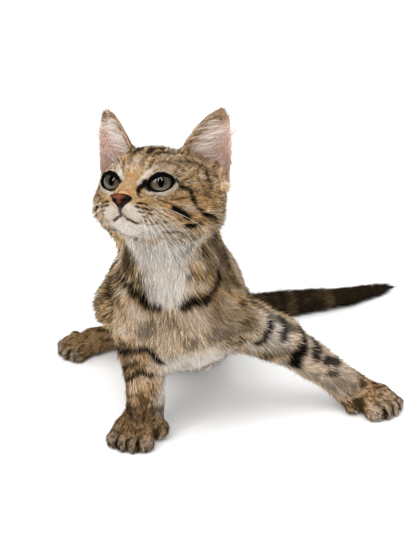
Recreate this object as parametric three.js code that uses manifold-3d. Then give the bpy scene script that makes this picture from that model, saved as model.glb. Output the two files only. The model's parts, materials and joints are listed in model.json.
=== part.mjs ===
// A life-size, still model of a tabby kitten, about nine weeks old, in millimetres with +Z up.
// It sits back on its rump and faces -Y, with its head raised and turned to its right (-X), its
// right foreleg upright and its left foreleg stretched out to the side. Its tail lies on the floor.
//
// The body is described as bones and masses that blend into one another, out to the tips of the
// coat. Each named part is a piece of that one form, parted from its neighbours by a thin cut.

import * as THREE from 'three';
import { SimplifyModifier } from 'three/addons/modifiers/SimplifyModifier.js';
import { edgeTable, triTable } from 'three/addons/objects/MarchingCubes.js';
import { mergeVertices } from 'three/addons/utils/BufferGeometryUtils.js';
import Module from 'manifold-3d';

const wasm = await Module();
wasm.setup();

// ---------------------------------------------------------------- driving dimensions, in mm

const GAP = 0.3; // the thin cut between two parts
const SEAT = 4; // how far a limb's own cutting shape stands off the limb
const LEFT = 1; // the kitten's left is +X
const RIGHT = -1;
const MIDDLE = -17; // x of the plane that halves the trunk

const HEAD_AT = [-29.5, 0.4, 154.7]; // the middle of the skull, between the ears
const HEAD_PITCH = -25.6; // degrees: the chin is raised
const HEAD_ROLL = 5; // degrees: the crown leans to the kitten's left
const HEAD_YAW = -24.1; // degrees: the nose turns to the kitten's right

const EYE_R = 8.6; // radius of the eyeball
const EYE_AT = [11.4, -18.9, 2.0]; // middle of the left eyeball, in the head's frame
const NOSE_AT = [0, -39.5, -7.2]; // middle of the nose leather, in the head's frame
const NOSE_HALF = [6, 4, 4.6]; // its half-sizes
const EAR_WALL = 2.2; // thickness of the ear's leaf with its short coat
const EAR_CUP = 15; // how far the leaf bows back at its base

const TOE_R = 5.6; // radius of a toe of a forefoot
const TOE_SPREAD = 6.3; // from one toe to the next
const TOE_REACH = 12.5; // how far the middle toes stand out
const HIND_TOE_R = 5.3;
const HIND_TOE_SPREAD = 5.6;
const HIND_TOE_REACH = 11;
const PAD_PRESS = 1.2; // how much of a pad's round underside is pressed flat by the floor
const TOES = [-1.5, -0.5, 0.5, 1.5]; // places of the four toes, counted from the middle

const TAIL_ROOT_R = 10;
const TAIL_TAPER = 2.2; // loss of radius by the tail's even taper
const TAIL_POINT = 4.4; // further loss where it comes to its point
const TAIL_STEPS = 18;

// ---------------------------------------------------------------- forms as distance functions

// Each form is a function of x, y, z: below zero inside the form, above zero outside.

const smoothMin = (a, b, k) => {
  const h = Math.max(k - Math.abs(a - b), 0) / k;
  return Math.min(a, b) - h * h * k * 0.25;
};

const blend = (k, ...forms) => (x, y, z) => {
  let d = forms[0](x, y, z);
  for (let i = 1; i < forms.length; i += 1) {
    d = smoothMin(d, forms[i](x, y, z), k);
  }
  return d;
};

// A rounded length of limb from a to b, with its radius going from ra to rb.
const bone = (a, b, ra, rb) => {
  const ab = [b[0] - a[0], b[1] - a[1], b[2] - a[2]];
  const squared = ab[0] ** 2 + ab[1] ** 2 + ab[2] ** 2;
  return (x, y, z) => {
    const along = ((x - a[0]) * ab[0] + (y - a[1]) * ab[1] + (z - a[2]) * ab[2]) / squared;
    const t = Math.min(1, Math.max(0, along));
    const dx = x - a[0] - t * ab[0];
    const dy = y - a[1] - t * ab[1];
    const dz = z - a[2] - t * ab[2];
    return Math.sqrt(dx * dx + dy * dy + dz * dz) - ra - t * (rb - ra);
  };
};

// A rounded mass with its own half-sizes along X, Y and Z.
const mass = (c, r) => (x, y, z) => {
  const px = (x - c[0]) / r[0];
  const py = (y - c[1]) / r[1];
  const pz = (z - c[2]) / r[2];
  const k0 = Math.sqrt(px * px + py * py + pz * pz);
  const k1 = Math.sqrt((px / r[0]) ** 2 + (py / r[1]) ** 2 + (pz / r[2]) ** 2);
  return k1 > 0 ? (k0 * (k0 - 1)) / k1 : -Math.min(...r);
};

const mirrored = (form) => (x, y, z) => form(Math.abs(x), y, z);

const placed = (form, matrix) => {
  const m = matrix.clone().invert().elements;
  return (x, y, z) => form(
    m[0] * x + m[4] * y + m[8] * z + m[12],
    m[1] * x + m[5] * y + m[9] * z + m[13],
    m[2] * x + m[6] * y + m[10] * z + m[14],
  );
};

// Turned about Z by the yaw, then about X by the pitch and about Y by the roll, all in degrees.
const matrixOf = (at, yaw, pitch = 0, roll = 0) => {
  const angles = [pitch, roll, yaw].map(THREE.MathUtils.degToRad);
  const turn = new THREE.Quaternion().setFromEuler(new THREE.Euler(...angles, 'YXZ'));
  return new THREE.Matrix4().compose(new THREE.Vector3(...at), turn, new THREE.Vector3(1, 1, 1));
};

// ---------------------------------------------------------------- the head, in its own frame

// x is to the kitten's left, -y is where the nose points, z is up, from the middle of the skull.
const headFrame = matrixOf(HEAD_AT, HEAD_YAW, HEAD_PITCH, HEAD_ROLL);
const headPoint = (p) => new THREE.Vector3(...p).applyMatrix4(headFrame).toArray();

const skull = blend(9,
  mass([0, 5, 3], [29, 27, 22]), // cranium
  mass([0, -13, 7], [20, 12.5, 14]), // forehead
  mirrored(mass([18.4, 7, -5], [18.6, 18, 17])), // cheeks
  mirrored(mass([24, 14, 4], [9, 8, 10])), // roots of the ears
  mass([0, -6, -14], [24, 18, 11])); // jaw

const muzzle = blend(5,
  bone([0, -19, 8], [0, -32, -4], 7.2, 5.4), // bridge of the nose
  mirrored(mass([6.2, -30, -12], [8.2, 8, 7])), // whisker pads
  bone([0, -33, -7], [0, -35, -8.5], 5, 4), // tip of the nose
  mass([0, -26, -18.5], [8, 8, 6]), // chin
  mirrored(bone([10, -22, -9], [19, -10, -8], 9, 10))); // from the pads to the cheeks

const headForm = placed(blend(6, skull, muzzle), headFrame);

// ---------------------------------------------------------------- neck, trunk and tail

const neckForm = blend(10,
  bone([-12, 26, 100], [-19, 12, 138], 25, 20), // left half of the neck
  bone([-25, 22, 100], [-34, 8, 138], 25, 20), // right half
  mass([-20, -2, 112], [25, 18, 24])); // bib

const trunkForm = blend(14,
  mass([-16, 22, 80], [34, 38, 38]), // chest
  mass([-11, 57, 64.5], [35, 42, 43.5]), // ribs
  mass([-17, 98, 51], [33, 40, 40]), // loin and belly
  mass([-24, 126, 42], [36, 38, 43])); // rump

// The tail is a chain of short bones along a curve on the floor.
const tailCurve = new THREE.CatmullRomCurve3([
  [-20, 150, 26], [-4, 165, 12], [34, 171.5, 8.5], [63, 180, 7.8], [93, 191.5, 6.6], [128, 215, 3.4],
].map((p) => new THREE.Vector3(...p)));
const tailPoint = (t) => tailCurve.getPoint(t).toArray();
const tailWay = (t) => tailCurve.getTangent(t).toArray();
const tailRadius = (t) => TAIL_ROOT_R - TAIL_TAPER * t - TAIL_POINT * t ** 5;
const tailForm = blend(3, ...Array.from({ length: TAIL_STEPS }, (_, i) => {
  const [a, b] = [i / TAIL_STEPS, (i + 1) / TAIL_STEPS];
  return bone(tailPoint(a), tailPoint(b), tailRadius(a), tailRadius(b));
}));

// ---------------------------------------------------------------- feet and legs

// A foot in its own frame: its toes point along -y, and z = 0 is the floor. The outer toes fan
// out a little and stand further back than the middle ones.
const toes = (radius, spread, reach) => TOES.map((place) => bone(
  [place * spread * 0.8, 0, radius + 2.4],
  [place * spread * 1.12, Math.abs(place) * 2.3 - reach, radius - PAD_PRESS],
  radius - 0.3, radius));

const forepaw = (side) => blend(2.5,
  ...toes(TOE_R, TOE_SPREAD, TOE_REACH),
  mass([0, 6, 7.5], [12, 12, 8.5]), // back of the paw
  mass([0, 2, 4], [11, 10, 6]), // main pad
  mass([-side * 15, 5, 7.5], [5.5, 5.2, 6.6])); // the first toe, high on the inner side

const hindpaw = blend(2.5,
  ...toes(HIND_TOE_R, HIND_TOE_SPREAD, HIND_TOE_REACH),
  mass([0, 3, 5], [9.5, 9, 6.5])); // main pad and back of the foot

// A hind foot lies flat on the floor from its heel to its toes.
const hindFeet = {
  hindleg_right: blend(8,
    bone([-50, 132, 9], [-78, 119, 8], 8.5, 8.5),
    placed(hindpaw, matrixOf([-83, 118, 0], -57))),
  hindleg_left: blend(8,
    bone([-3, 146, 9], [-2, 122, 8], 8.5, 8.5),
    placed(hindpaw, matrixOf([-2, 121, 0], 4))),
};

const legForms = {
  foreleg_right: blend(8,
    bone([-37, 6, 92], [-41, 22, 62], 18, 14), // shoulder to elbow
    bone([-41, 22, 62], [-37, 14, 22], 13, 11.2), // elbow to wrist
    placed(forepaw(RIGHT), matrixOf([-43.2, 7.5, 0], -15))),
  foreleg_left: blend(8,
    bone([0, 14, 79], [36, 31, 56], 19.5, 14),
    bone([36, 31, 56], [84, 49, 12.5], 13.8, 10),
    placed(forepaw(LEFT), matrixOf([98, 44, 0], 42))),
  hindleg_right: blend(8,
    bone([-40, 132, 42], [-54, 98, 44], 27, 18), // hip to knee
    bone([-54, 98, 40], [-52, 124, 14], 15, 9), // knee to heel
    hindFeet.hindleg_right),
  hindleg_left: blend(8,
    bone([-5, 132, 41], [0, 102, 38], 25, 17),
    bone([0, 102, 35], [-2, 136, 14], 14, 9),
    hindFeet.hindleg_left),
};

const flesh = blend(10,
  blend(8, headForm, neckForm), trunkForm, ...Object.values(legForms), tailForm);

// ---------------------------------------------------------------- from a form to a closed mesh

// Corners and edges of a cell, in the order that the tables of marching cubes use.
const CORNERS = [
  [0, 0, 0], [1, 0, 0], [1, 1, 0], [0, 1, 0], [0, 0, 1], [1, 0, 1], [1, 1, 1], [0, 1, 1],
];
const EDGES = [
  [0, 1], [1, 2], [3, 2], [0, 3], [4, 5], [5, 6], [7, 6], [4, 7], [0, 4], [1, 5], [2, 6], [3, 7],
];
const KEEP_OFF = 0.06; // share of a cell's edge that a vertex keeps from both ends of the edge

// Walks through a grid of cells between two corners, and makes the surface where form is zero.
function polygonise(form, [low, high], cell) {
  const n = low.map((v, i) => Math.ceil((high[i] - v) / cell) + 1);
  const at = (i, j, k) => i + n[0] * (j + n[1] * k);
  const values = new Float64Array(n[0] * n[1] * n[2]).fill(1);
  for (let k = 1; k < n[2] - 1; k += 1) {
    for (let j = 1; j < n[1] - 1; j += 1) {
      for (let i = 1; i < n[0] - 1; i += 1) {
        values[at(i, j, k)] = form(low[0] + i * cell, low[1] + j * cell, low[2] + k * cell);
      }
    }
  }
  const vertices = [];
  const faces = [];
  const found = new Map();
  const vertexOn = (i, j, k, edge) => {
    const [p, q] = EDGES[edge].map((corner) => CORNERS[corner]);
    const axis = p.findIndex((v, a) => v !== q[a]);
    const key = at(i + p[0], j + p[1], k + p[2]) * 3 + axis;
    if (!found.has(key)) {
      const a = values[at(i + p[0], j + p[1], k + p[2])];
      const b = values[at(i + q[0], j + q[1], k + q[2])];
      const t = THREE.MathUtils.clamp(a / (a - b), KEEP_OFF, 1 - KEEP_OFF);
      found.set(key, vertices.length / 3);
      vertices.push(...[i, j, k].map((v, c) => low[c] + (v + p[c] + t * (q[c] - p[c])) * cell));
    }
    return found.get(key);
  };
  for (let k = 0; k < n[2] - 1; k += 1) {
    for (let j = 0; j < n[1] - 1; j += 1) {
      for (let i = 0; i < n[0] - 1; i += 1) {
        const inside = CORNERS.reduce((bits, c, bit) => (
          values[at(i + c[0], j + c[1], k + c[2])] < 0 ? bits | (1 << bit) : bits), 0);
        if (edgeTable[inside] !== 0) {
          for (let f = inside * 16; triTable[f] !== -1; f += 3) {
            const [a, b, c] = [0, 1, 2].map((v) => vertexOn(i, j, k, triTable[f + v]));
            faces.push(a, c, b);
          }
        }
      }
    }
  }
  const geometry = new THREE.BufferGeometry();
  geometry.setAttribute('position', new THREE.Float32BufferAttribute(vertices, 3));
  geometry.setIndex(faces);
  return geometry;
}

const simplifier = new SimplifyModifier();
async function thinned(geometry, triangles) {
  const spare = geometry.getAttribute('position').count - Math.round(triangles / 2);
  return spare > 0 ? simplifier.modify(geometry, spare) : geometry;
}

// ---------------------------------------------------------------- joins and cuts

// The same shape with one vertex at each corner, and nothing but positions.
function welded(geometry) {
  const bare = geometry.clone();
  bare.deleteAttribute('normal');
  bare.deleteAttribute('uv');
  return mergeVertices(bare, 1e-4);
}

function toSolid(geometry) {
  const merged = welded(geometry);
  return new wasm.Manifold(new wasm.Mesh({
    numProp: 3,
    vertProperties: Float32Array.from(merged.getAttribute('position').array),
    triVerts: Uint32Array.from(merged.getIndex().array),
  }));
}

function toGeometry(solid) {
  const mesh = solid.getMesh();
  const geometry = new THREE.BufferGeometry();
  geometry.setAttribute('position', new THREE.BufferAttribute(mesh.vertProperties, 3));
  geometry.setIndex(new THREE.BufferAttribute(mesh.triVerts, 1));
  return geometry;
}

// The same closed shape with each vertex moved out along its normal.
function grown(geometry, distance) {
  const wider = welded(geometry);
  wider.computeVertexNormals();
  const position = wider.getAttribute('position');
  const normal = wider.getAttribute('normal');
  for (let i = 0; i < position.count; i += 1) {
    position.setXYZ(i,
      position.getX(i) + normal.getX(i) * distance,
      position.getY(i) + normal.getY(i) * distance,
      position.getZ(i) + normal.getZ(i) * distance);
  }
  return wider;
}

// A cutting shape, and the same shape one gap wider. What lies in the first is one part, and what
// lies outside the second belongs to its neighbours.
const cutter = (geometry) => ({ inner: toSolid(geometry), outer: toSolid(grown(geometry, GAP)) });

const CUTTER_CELL = 5;
const LIMB_CUTTER_FACES = 240;
const FOOT_CUTTER_FACES = 130;
async function cutterAround(form, box, faces) {
  const looser = (x, y, z) => form(x, y, z) - SEAT;
  return cutter(await thinned(polygonise(looser, box, CUTTER_CELL), faces));
}

// A limb's cutting shape is kept to the limb's own side of the trunk.
async function limbCutter(form, box, side) {
  const { inner, outer } = await cutterAround(form, box, LIMB_CUTTER_FACES);
  const edge = side * MIDDLE;
  return {
    inner: inner.trimByPlane([side, 0, 0], edge + GAP),
    outer: outer.trimByPlane([side, 0, 0], edge),
  };
}

// A block whose lower face lies on a plane, to cut away all that is above it.
function blockAbove(point, toward, size) {
  const block = new THREE.BoxGeometry(size, size, size);
  const way = new THREE.Vector3(...toward).normalize();
  block.translate(0, 0, size / 2);
  block.applyQuaternion(new THREE.Quaternion().setFromUnitVectors(new THREE.Vector3(0, 0, 1), way));
  block.translate(...point);
  return block;
}

// Keeps the side of a plane that its normal points to, half a gap away from it.
function cutAt(solid, point, toward) {
  const normal = new THREE.Vector3(...toward).normalize();
  const offset = normal.dot(new THREE.Vector3(...point)) + GAP / 2;
  return solid.trimByPlane(normal.toArray(), offset);
}

const away = (v) => v.map((c) => -c);
const floorCut = (solid) => solid.trimByPlane([0, 0, 1], 0);
const largest = (solid) => solid.decompose().sort((a, b) => b.volume() - a.volume())[0];

// How finely each stretch of the form is meshed: the size of a cell in mm, and the number of
// triangles that it is thinned to.
const DETAIL = {
  trunk: { cell: 4, triangles: 1200 },
  head: { cell: 2.2, triangles: 1560 },
  limb: { cell: 3, triangles: 440 },
  forepaw: { cell: 1.6, triangles: 440 },
  hindFoot: { cell: 1.6, triangles: 420 },
  tail: { cell: 3, triangles: 500 },
};

// The part of the whole form that lies in a box, as a solid.
async function fleshIn(box, { cell, triangles }) {
  return toSolid(await thinned(polygonise(flesh, box, cell), triangles));
}

// ---------------------------------------------------------------- boxes and planes of the parts

const TRUNK_BOX = [[-75, -32, -12], [50, 178, 150]];
const HEAD_BOX = [[-85, -60, 100], [35, 60, 215]];
const TAIL_BOX = [[-35, 125, -12], [148, 235, 50]];

// The head ends on a plane behind the chin, and the neck on one above the shoulders.
const THROAT = headPoint([0, -4, -22]);
const THROAT_WAY = [-0.05, -0.12, 1];
const NECK_BASE = [-18, 18, 112];
const NECK_WAY = [-0.1, -0.35, 1];
const NECK_REAR = [0, 60, 0];
const CHEST_REAR = [0, 66, 70];
const LOIN_REAR = [0, 108, 50];
const REAR_WAY = [0, 1, -0.25];
const TAIL_CUTS = [0.36, 0.7]; // shares of the tail's length

const limbBoxes = {
  foreleg_right: [[-75, -35, -8], [5, 55, 125]],
  foreleg_left: [[-35, -20, -8], [130, 85, 120]],
  hindleg_right: [[-112, 60, -12], [5, 180, 85]],
  hindleg_left: [[-45, 60, -12], [55, 185, 85]],
};
const footBoxes = {
  foreleg_right: [[-72, -20, -8], [-12, 45, 40]],
  foreleg_left: [[60, 10, -8], [132, 84, 46]],
  hindleg_right: [[-112, 84, -8], [-24, 168, 36]],
  hindleg_left: [[-30, 84, -8], [30, 172, 36]],
};

// Each foreleg is cut across at its elbow and at its wrist, by planes that face down the leg.
const joints = {
  foreleg_right: {
    elbow: { at: [-41, 22, 58], way: [0, -0.2, -1] },
    wrist: { at: [-37, 14, 24], way: [0, -0.2, -1] },
  },
  foreleg_left: {
    elbow: { at: [38, 32, 55], way: [0.7, 0.2, -0.7] },
    wrist: { at: [81, 49, 17], way: [0.7, 0.1, -0.6] },
  },
};

// ---------------------------------------------------------------- trunk, neck and tail as parts

const parts = {};
const limbCuts = {};
for (const [name, form] of Object.entries(legForms)) {
  const side = name.endsWith('left') ? LEFT : RIGHT;
  limbCuts[name] = await limbCutter(form, limbBoxes[name], side);
}
const withoutLimbs = (solid) => Object.values(limbCuts).reduce(
  (rest, cut) => rest.subtract(cut.outer), solid);

const tailCut = await cutterAround(tailForm, TAIL_BOX, LIMB_CUTTER_FACES);
const headCut = cutter(blockAbove(THROAT, THROAT_WAY, 130));

const bareTrunk = withoutLimbs(await fleshIn(TRUNK_BOX, DETAIL.trunk));
const trunk = floorCut(bareTrunk.subtract(tailCut.outer).subtract(headCut.outer));
parts.neck = cutAt(cutAt(trunk, NECK_BASE, NECK_WAY), NECK_REAR, away(REAR_WAY));
parts.chest = cutAt(cutAt(trunk, NECK_BASE, away(NECK_WAY)), CHEST_REAR, away(REAR_WAY));
parts.belly = cutAt(cutAt(trunk, CHEST_REAR, REAR_WAY), LOIN_REAR, away(REAR_WAY));
parts.rump = cutAt(trunk, LOIN_REAR, REAR_WAY);

const wholeTail = withoutLimbs(floorCut((await fleshIn(TAIL_BOX, DETAIL.tail)).intersect(tailCut.inner)));
const [firstCut, secondCut] = TAIL_CUTS;
const afterFirst = cutAt(wholeTail, tailPoint(firstCut), tailWay(firstCut));
parts.tail_base = cutAt(wholeTail, tailPoint(firstCut), away(tailWay(firstCut)));
parts.tail_middle = cutAt(afterFirst, tailPoint(secondCut), away(tailWay(secondCut)));
parts.tail_tip = cutAt(afterFirst, tailPoint(secondCut), tailWay(secondCut));

// ---------------------------------------------------------------- legs as parts

const limbOf = async (name) => (
  floorCut((await fleshIn(limbBoxes[name], DETAIL.limb)).intersect(limbCuts[name].inner)));
const footOf = async (name, detail) => (
  floorCut((await fleshIn(footBoxes[name], detail)).intersect(limbCuts[name].inner)));

for (const [name, { elbow, wrist }] of Object.entries(joints)) {
  const limb = cutAt(await limbOf(name), wrist.at, away(wrist.way));
  parts[`${name}_upper`] = cutAt(limb, elbow.at, away(elbow.way));
  parts[`${name}_lower`] = cutAt(limb, elbow.at, elbow.way);
  parts[`${name}_paw`] = cutAt(await footOf(name, DETAIL.forepaw), wrist.at, wrist.way);
}

for (const [name, form] of Object.entries(hindFeet)) {
  const footCut = await cutterAround(form, limbBoxes[name], FOOT_CUTTER_FACES);
  parts[`${name}_thigh`] = (await limbOf(name)).subtract(footCut.outer);
  parts[`${name}_foot`] = (await footOf(name, DETAIL.hindFoot)).intersect(footCut.inner);
}

// ---------------------------------------------------------------- head, nose and eyes as parts

function inHead(geometry, at) {
  geometry.translate(...at);
  geometry.applyMatrix4(headFrame);
  return geometry;
}

const noseBall = new THREE.IcosahedronGeometry(1, 2);
noseBall.scale(...NOSE_HALF);
const noseCut = cutter(inHead(noseBall, NOSE_AT));
const wholeHead = (await fleshIn(HEAD_BOX, DETAIL.head)).intersect(headCut.inner);
parts.nose = wholeHead.intersect(noseCut.inner);
parts.head = wholeHead.subtract(noseCut.outer);

for (const [name, side] of [['left', LEFT], ['right', RIGHT]]) {
  const place = [side * EYE_AT[0], EYE_AT[1], EYE_AT[2]];
  const eyeball = cutter(inHead(new THREE.IcosahedronGeometry(EYE_R, 2), place));
  parts[`eye_${name}`] = eyeball.inner;
  parts.head = parts.head.subtract(eyeball.outer);
}

// ---------------------------------------------------------------- ears

// An ear's leaf lies between two bowed edges that meet at its tip. The points are those of a left
// ear in the head's frame, each edge from the ear's base to its tip. The ears stand unevenly.
const EAR_TIPS = { left: [34.2, 0.8, 45.2], right: [32.2, 0.8, 43] };
const EAR_INNER_EDGE = [[13.2, -2, 20], [20.5, -5, 36]];
const EAR_OUTER_EDGE = [[37, 11, 4], [41.5, 6, 34]];
const TIP_HALF = 2; // half the width of the blunt tip
const EAR_BACK = new THREE.Vector3(-0.25, 1, 0.1); // where its cup bows to
const EAR_ACROSS = 7;
const EAR_UP = 8;
const STEP = 1e-3;

const bowed = (edge, t) => new THREE.QuadraticBezierCurve3(
  ...edge.map((p) => new THREE.Vector3(...p))).getPoint(t);

function ear(tip, side) {
  const innerEdge = [...EAR_INNER_EDGE, [tip[0] - TIP_HALF, tip[1], tip[2]]];
  const outerEdge = [...EAR_OUTER_EDGE, [tip[0] + TIP_HALF, tip[1], tip[2]]];
  // The middle of the leaf: u goes from its base to its tip, v from its inner to its outer edge.
  const middleAt = (u, v) => {
    const depth = EAR_CUP * Math.max(0, 1 - u) ** 0.8 * (1 - v * v);
    return bowed(innerEdge, u).lerp(bowed(outerEdge, u), (v + 1) / 2)
      .addScaledVector(EAR_BACK, depth);
  };
  const leaf = new THREE.BoxGeometry(2, 1, 2, EAR_ACROSS, EAR_UP, 1);
  const position = leaf.getAttribute('position');
  for (let i = 0; i < position.count; i += 1) {
    const v = position.getX(i);
    const u = position.getY(i) + 0.5;
    const p = middleAt(u, v);
    const up = p.clone().sub(middleAt(u - STEP, v));
    const across = middleAt(u, v + STEP).sub(p);
    const half = (position.getZ(i) * side * EAR_WALL) / 2;
    p.addScaledVector(across.cross(up).normalize(), half);
    position.setXYZ(i, side * p.x, p.y, p.z);
  }
  return inHead(leaf, [0, 0, 0]);
}

const seatOfEars = toSolid(grown(toGeometry(largest(parts.head)), GAP));
parts.ear_left = toSolid(ear(EAR_TIPS.left, LEFT)).subtract(seatOfEars);
parts.ear_right = toSolid(ear(EAR_TIPS.right, RIGHT)).subtract(seatOfEars);

// ---------------------------------------------------------------- materials and scene graph

const finish = (color, roughness) => new THREE.MeshStandardMaterial({ color, roughness, metalness: 0 });
const COAT = finish('#8f7a5f', 0.9);
const PALE_COAT = finish('#d9cdbb', 0.9);
const DARK_COAT = finish('#3b342e', 0.9);
const EAR_COAT = finish('#b08d78', 0.85);
const EYE = finish('#6b7058', 0.08);
const LEATHER = finish('#9a4f3c', 0.5);

const finishes = {
  neck: PALE_COAT,
  tail_middle: DARK_COAT,
  tail_tip: DARK_COAT,
  ear_left: EAR_COAT,
  ear_right: EAR_COAT,
  eye_left: EYE,
  eye_right: EYE,
  nose: LEATHER,
};

// The origin is on the floor, below the middle of the kitten's box.
const kitten = new THREE.Group();
for (const [name, solid] of Object.entries(parts)) {
  const mesh = new THREE.Mesh(toGeometry(largest(solid)), finishes[name] ?? COAT);
  mesh.name = name;
  kitten.add(mesh);
}
const middle = new THREE.Box3().setFromObject(kitten).getCenter(new THREE.Vector3());
kitten.position.set(-middle.x, -middle.y, 0);

export default kitten;
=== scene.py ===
# %% [markdown]
# # A tabby kitten in fur
#
# The frame holds the kitten as 23 plain solids, out to the tips of its coat. This lesson gives
# them what makes a kitten: one skin without seams, wet eyes, a leather nose, and a coat of a
# quarter of a million small tufts that lie as a cat's hair lies.
#
# Lengths are millimetres in the sculptor's own axes: the kitten faces -Y, its left is +X and Z is
# up. They become metres when a mesh is made.

# %% Start from the frame
import json
import math

import bmesh
import bpy
import numpy as np
from mathutils import Matrix, Vector
from mathutils.bvhtree import BVHTree
from mathutils.kdtree import KDTree

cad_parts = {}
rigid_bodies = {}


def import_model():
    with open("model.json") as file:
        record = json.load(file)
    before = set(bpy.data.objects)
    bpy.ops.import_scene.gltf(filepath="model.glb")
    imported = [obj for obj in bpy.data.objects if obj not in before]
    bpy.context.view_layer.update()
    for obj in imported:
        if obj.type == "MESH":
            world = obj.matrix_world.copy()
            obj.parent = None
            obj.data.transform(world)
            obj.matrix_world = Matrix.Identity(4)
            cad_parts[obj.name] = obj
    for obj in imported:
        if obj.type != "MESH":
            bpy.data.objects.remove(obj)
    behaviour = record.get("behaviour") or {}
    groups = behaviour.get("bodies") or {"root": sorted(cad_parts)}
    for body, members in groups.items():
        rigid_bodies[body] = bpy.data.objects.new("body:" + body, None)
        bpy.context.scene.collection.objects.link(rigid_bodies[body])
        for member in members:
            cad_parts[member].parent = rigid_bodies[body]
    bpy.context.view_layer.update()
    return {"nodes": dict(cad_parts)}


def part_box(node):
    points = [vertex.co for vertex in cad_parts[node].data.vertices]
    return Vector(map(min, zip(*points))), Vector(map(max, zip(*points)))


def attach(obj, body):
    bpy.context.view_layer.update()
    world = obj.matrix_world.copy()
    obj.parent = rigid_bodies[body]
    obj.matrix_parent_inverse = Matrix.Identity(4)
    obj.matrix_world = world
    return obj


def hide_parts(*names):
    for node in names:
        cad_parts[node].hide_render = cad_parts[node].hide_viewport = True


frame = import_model()
MM = 0.001
print("nodes in the frame:", len(frame["nodes"]))

# %% [markdown]
# ## Two sets of axes
#
# The head is turned, tipped up and leaned over, so anything on the face is easier to place in axes
# fixed to the skull: x to the kitten's left, -y out through the nose, z up. The frame has the
# bottom centre of its box at the origin, and the eyeball's place tells how far the sculptor's axes
# were moved.

# %% The head's axes and the frame's shift
HEAD_AT = np.array([-29.5, 0.4, 154.7])  # middle of the skull
HEAD_PITCH, HEAD_ROLL, HEAD_YAW = -25.6, 5.0, -24.1  # degrees
EYE_AT = np.array([11.4, -18.9, 2.0])  # middle of the left eyeball, in head axes
EYE_R = 8.6
NOSE_AT = np.array([0.0, -39.5, -7.2])  # middle of the nose leather, in head axes


def turn_about(axis, degrees):
    return np.array(Matrix.Rotation(math.radians(degrees), 3, axis))


HEAD_TURN = turn_about("Y", HEAD_ROLL) @ turn_about("X", HEAD_PITCH) @ turn_about("Z", HEAD_YAW)


def from_head(q):
    """Points in head axes, given in the body's axes."""
    return np.asarray(q, float) @ HEAD_TURN.T + HEAD_AT


def to_head(p):
    """Points in the body's axes, given in head axes."""
    return (p - HEAD_AT) @ HEAD_TURN


def unit(v):
    v = np.asarray(v, float)
    return v / np.maximum(np.linalg.norm(v, axis=-1, keepdims=True), 1e-9)


def ramp(x, start, end):
    """0 before start, 1 after end and a smooth rise between them."""
    t = np.clip((x - start) / (end - start), 0, 1)
    return t * t * (3 - 2 * t)


eye_low, eye_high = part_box("eye_left")
SHIFT = np.array((eye_low + eye_high) / 2) / MM - from_head(EYE_AT)
print("sculptor's axes moved by", SHIFT.round(2), "mm")

# %% [markdown]
# ## Forms as distances
#
# A skull, a cheek or a whisker pad is a rounded mass, and the bridge of the nose is a bone. Each
# is a function that gives a point's distance from its surface, negative inside, and a rounded
# minimum melts two together as flesh does. Sculpting by hand could give the same forms, but not
# twice.

# %% Masses, bones and how they melt together
def mass(q, centre, half):
    p = (q - centre) / half
    k0 = np.linalg.norm(p, axis=1)
    k1 = np.linalg.norm(p / half, axis=1)
    return k0 * (k0 - 1) / np.maximum(k1, 1e-9)


def along_bone(p, a, b):
    """How far along the bone each point lies, 0 to 1, and its distance from the bone's axis."""
    a, b = np.asarray(a, float), np.asarray(b, float)
    way = b - a
    t = np.clip((p - a) @ way / max(way @ way, 1e-9), 0, 1)
    return t, np.linalg.norm(p - a - t[:, None] * way, axis=1)


def bone(p, a, b, radius_a, radius_b):
    t, distance = along_bone(p, a, b)
    return distance - radius_a - t * (radius_b - radius_a)


def melt(k, *distances):
    total = distances[0]
    for other in distances[1:]:
        h = np.maximum(k - np.abs(total - other), 0) / k
        total = np.minimum(total, other) - h * h * k / 4
    return total


def path_distance(p, path):
    """Distance from a path of straight lengths, such as a stripe's middle line."""
    lengths = [along_bone(p, a, b)[1] for a, b in zip(path[:-1], path[1:])]
    return np.min(lengths, axis=0)


beside = np.array([[5.0, 0.0, 0.0]])
print("5 mm beside the axis of a bone of radius 2:", bone(beside, (0, 0, 0), (0, 0, 9), 2, 2)[0], "mm")

# %% [markdown]
# ## How the eyes are set
#
# A kitten's eyeball is large and round, and the lids open on it in an almond that tilts up towards
# the ear. Drawn as a flat outline it could come apart from the ball. So it is measured in degrees
# over the eyeball, round one axis, and the pupil is on another, the gaze.

# %% The two eyes
LID = 1.1  # how far the lid stands over the eyeball
LID_HALF = (43.0, 40.0, 18.0, 28.0)  # opening in degrees: outer corner, inner corner, up, down
CREAM_RIM = (13.0, 13.0, 23.5, 7.0)  # how far cream fur reaches round it, in degrees more
BLACK_RIM = {  # and black fur over the cream, round the left eye and the right one
    1: (8.0, 15.0, 18.5, 3.5),
    -1: (8.0, 7.0, 18.5, 3.5),
}
LID_TILT = 16.0  # degrees: the outer corner is the higher one


def direction(azimuth, elevation):
    """A direction in head axes: azimuth 0 is straight ahead, and positive to the kitten's left."""
    a, e = math.radians(azimuth), math.radians(elevation)
    return np.array([math.sin(a) * math.cos(e), -math.cos(a) * math.cos(e), math.sin(e)])


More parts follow.
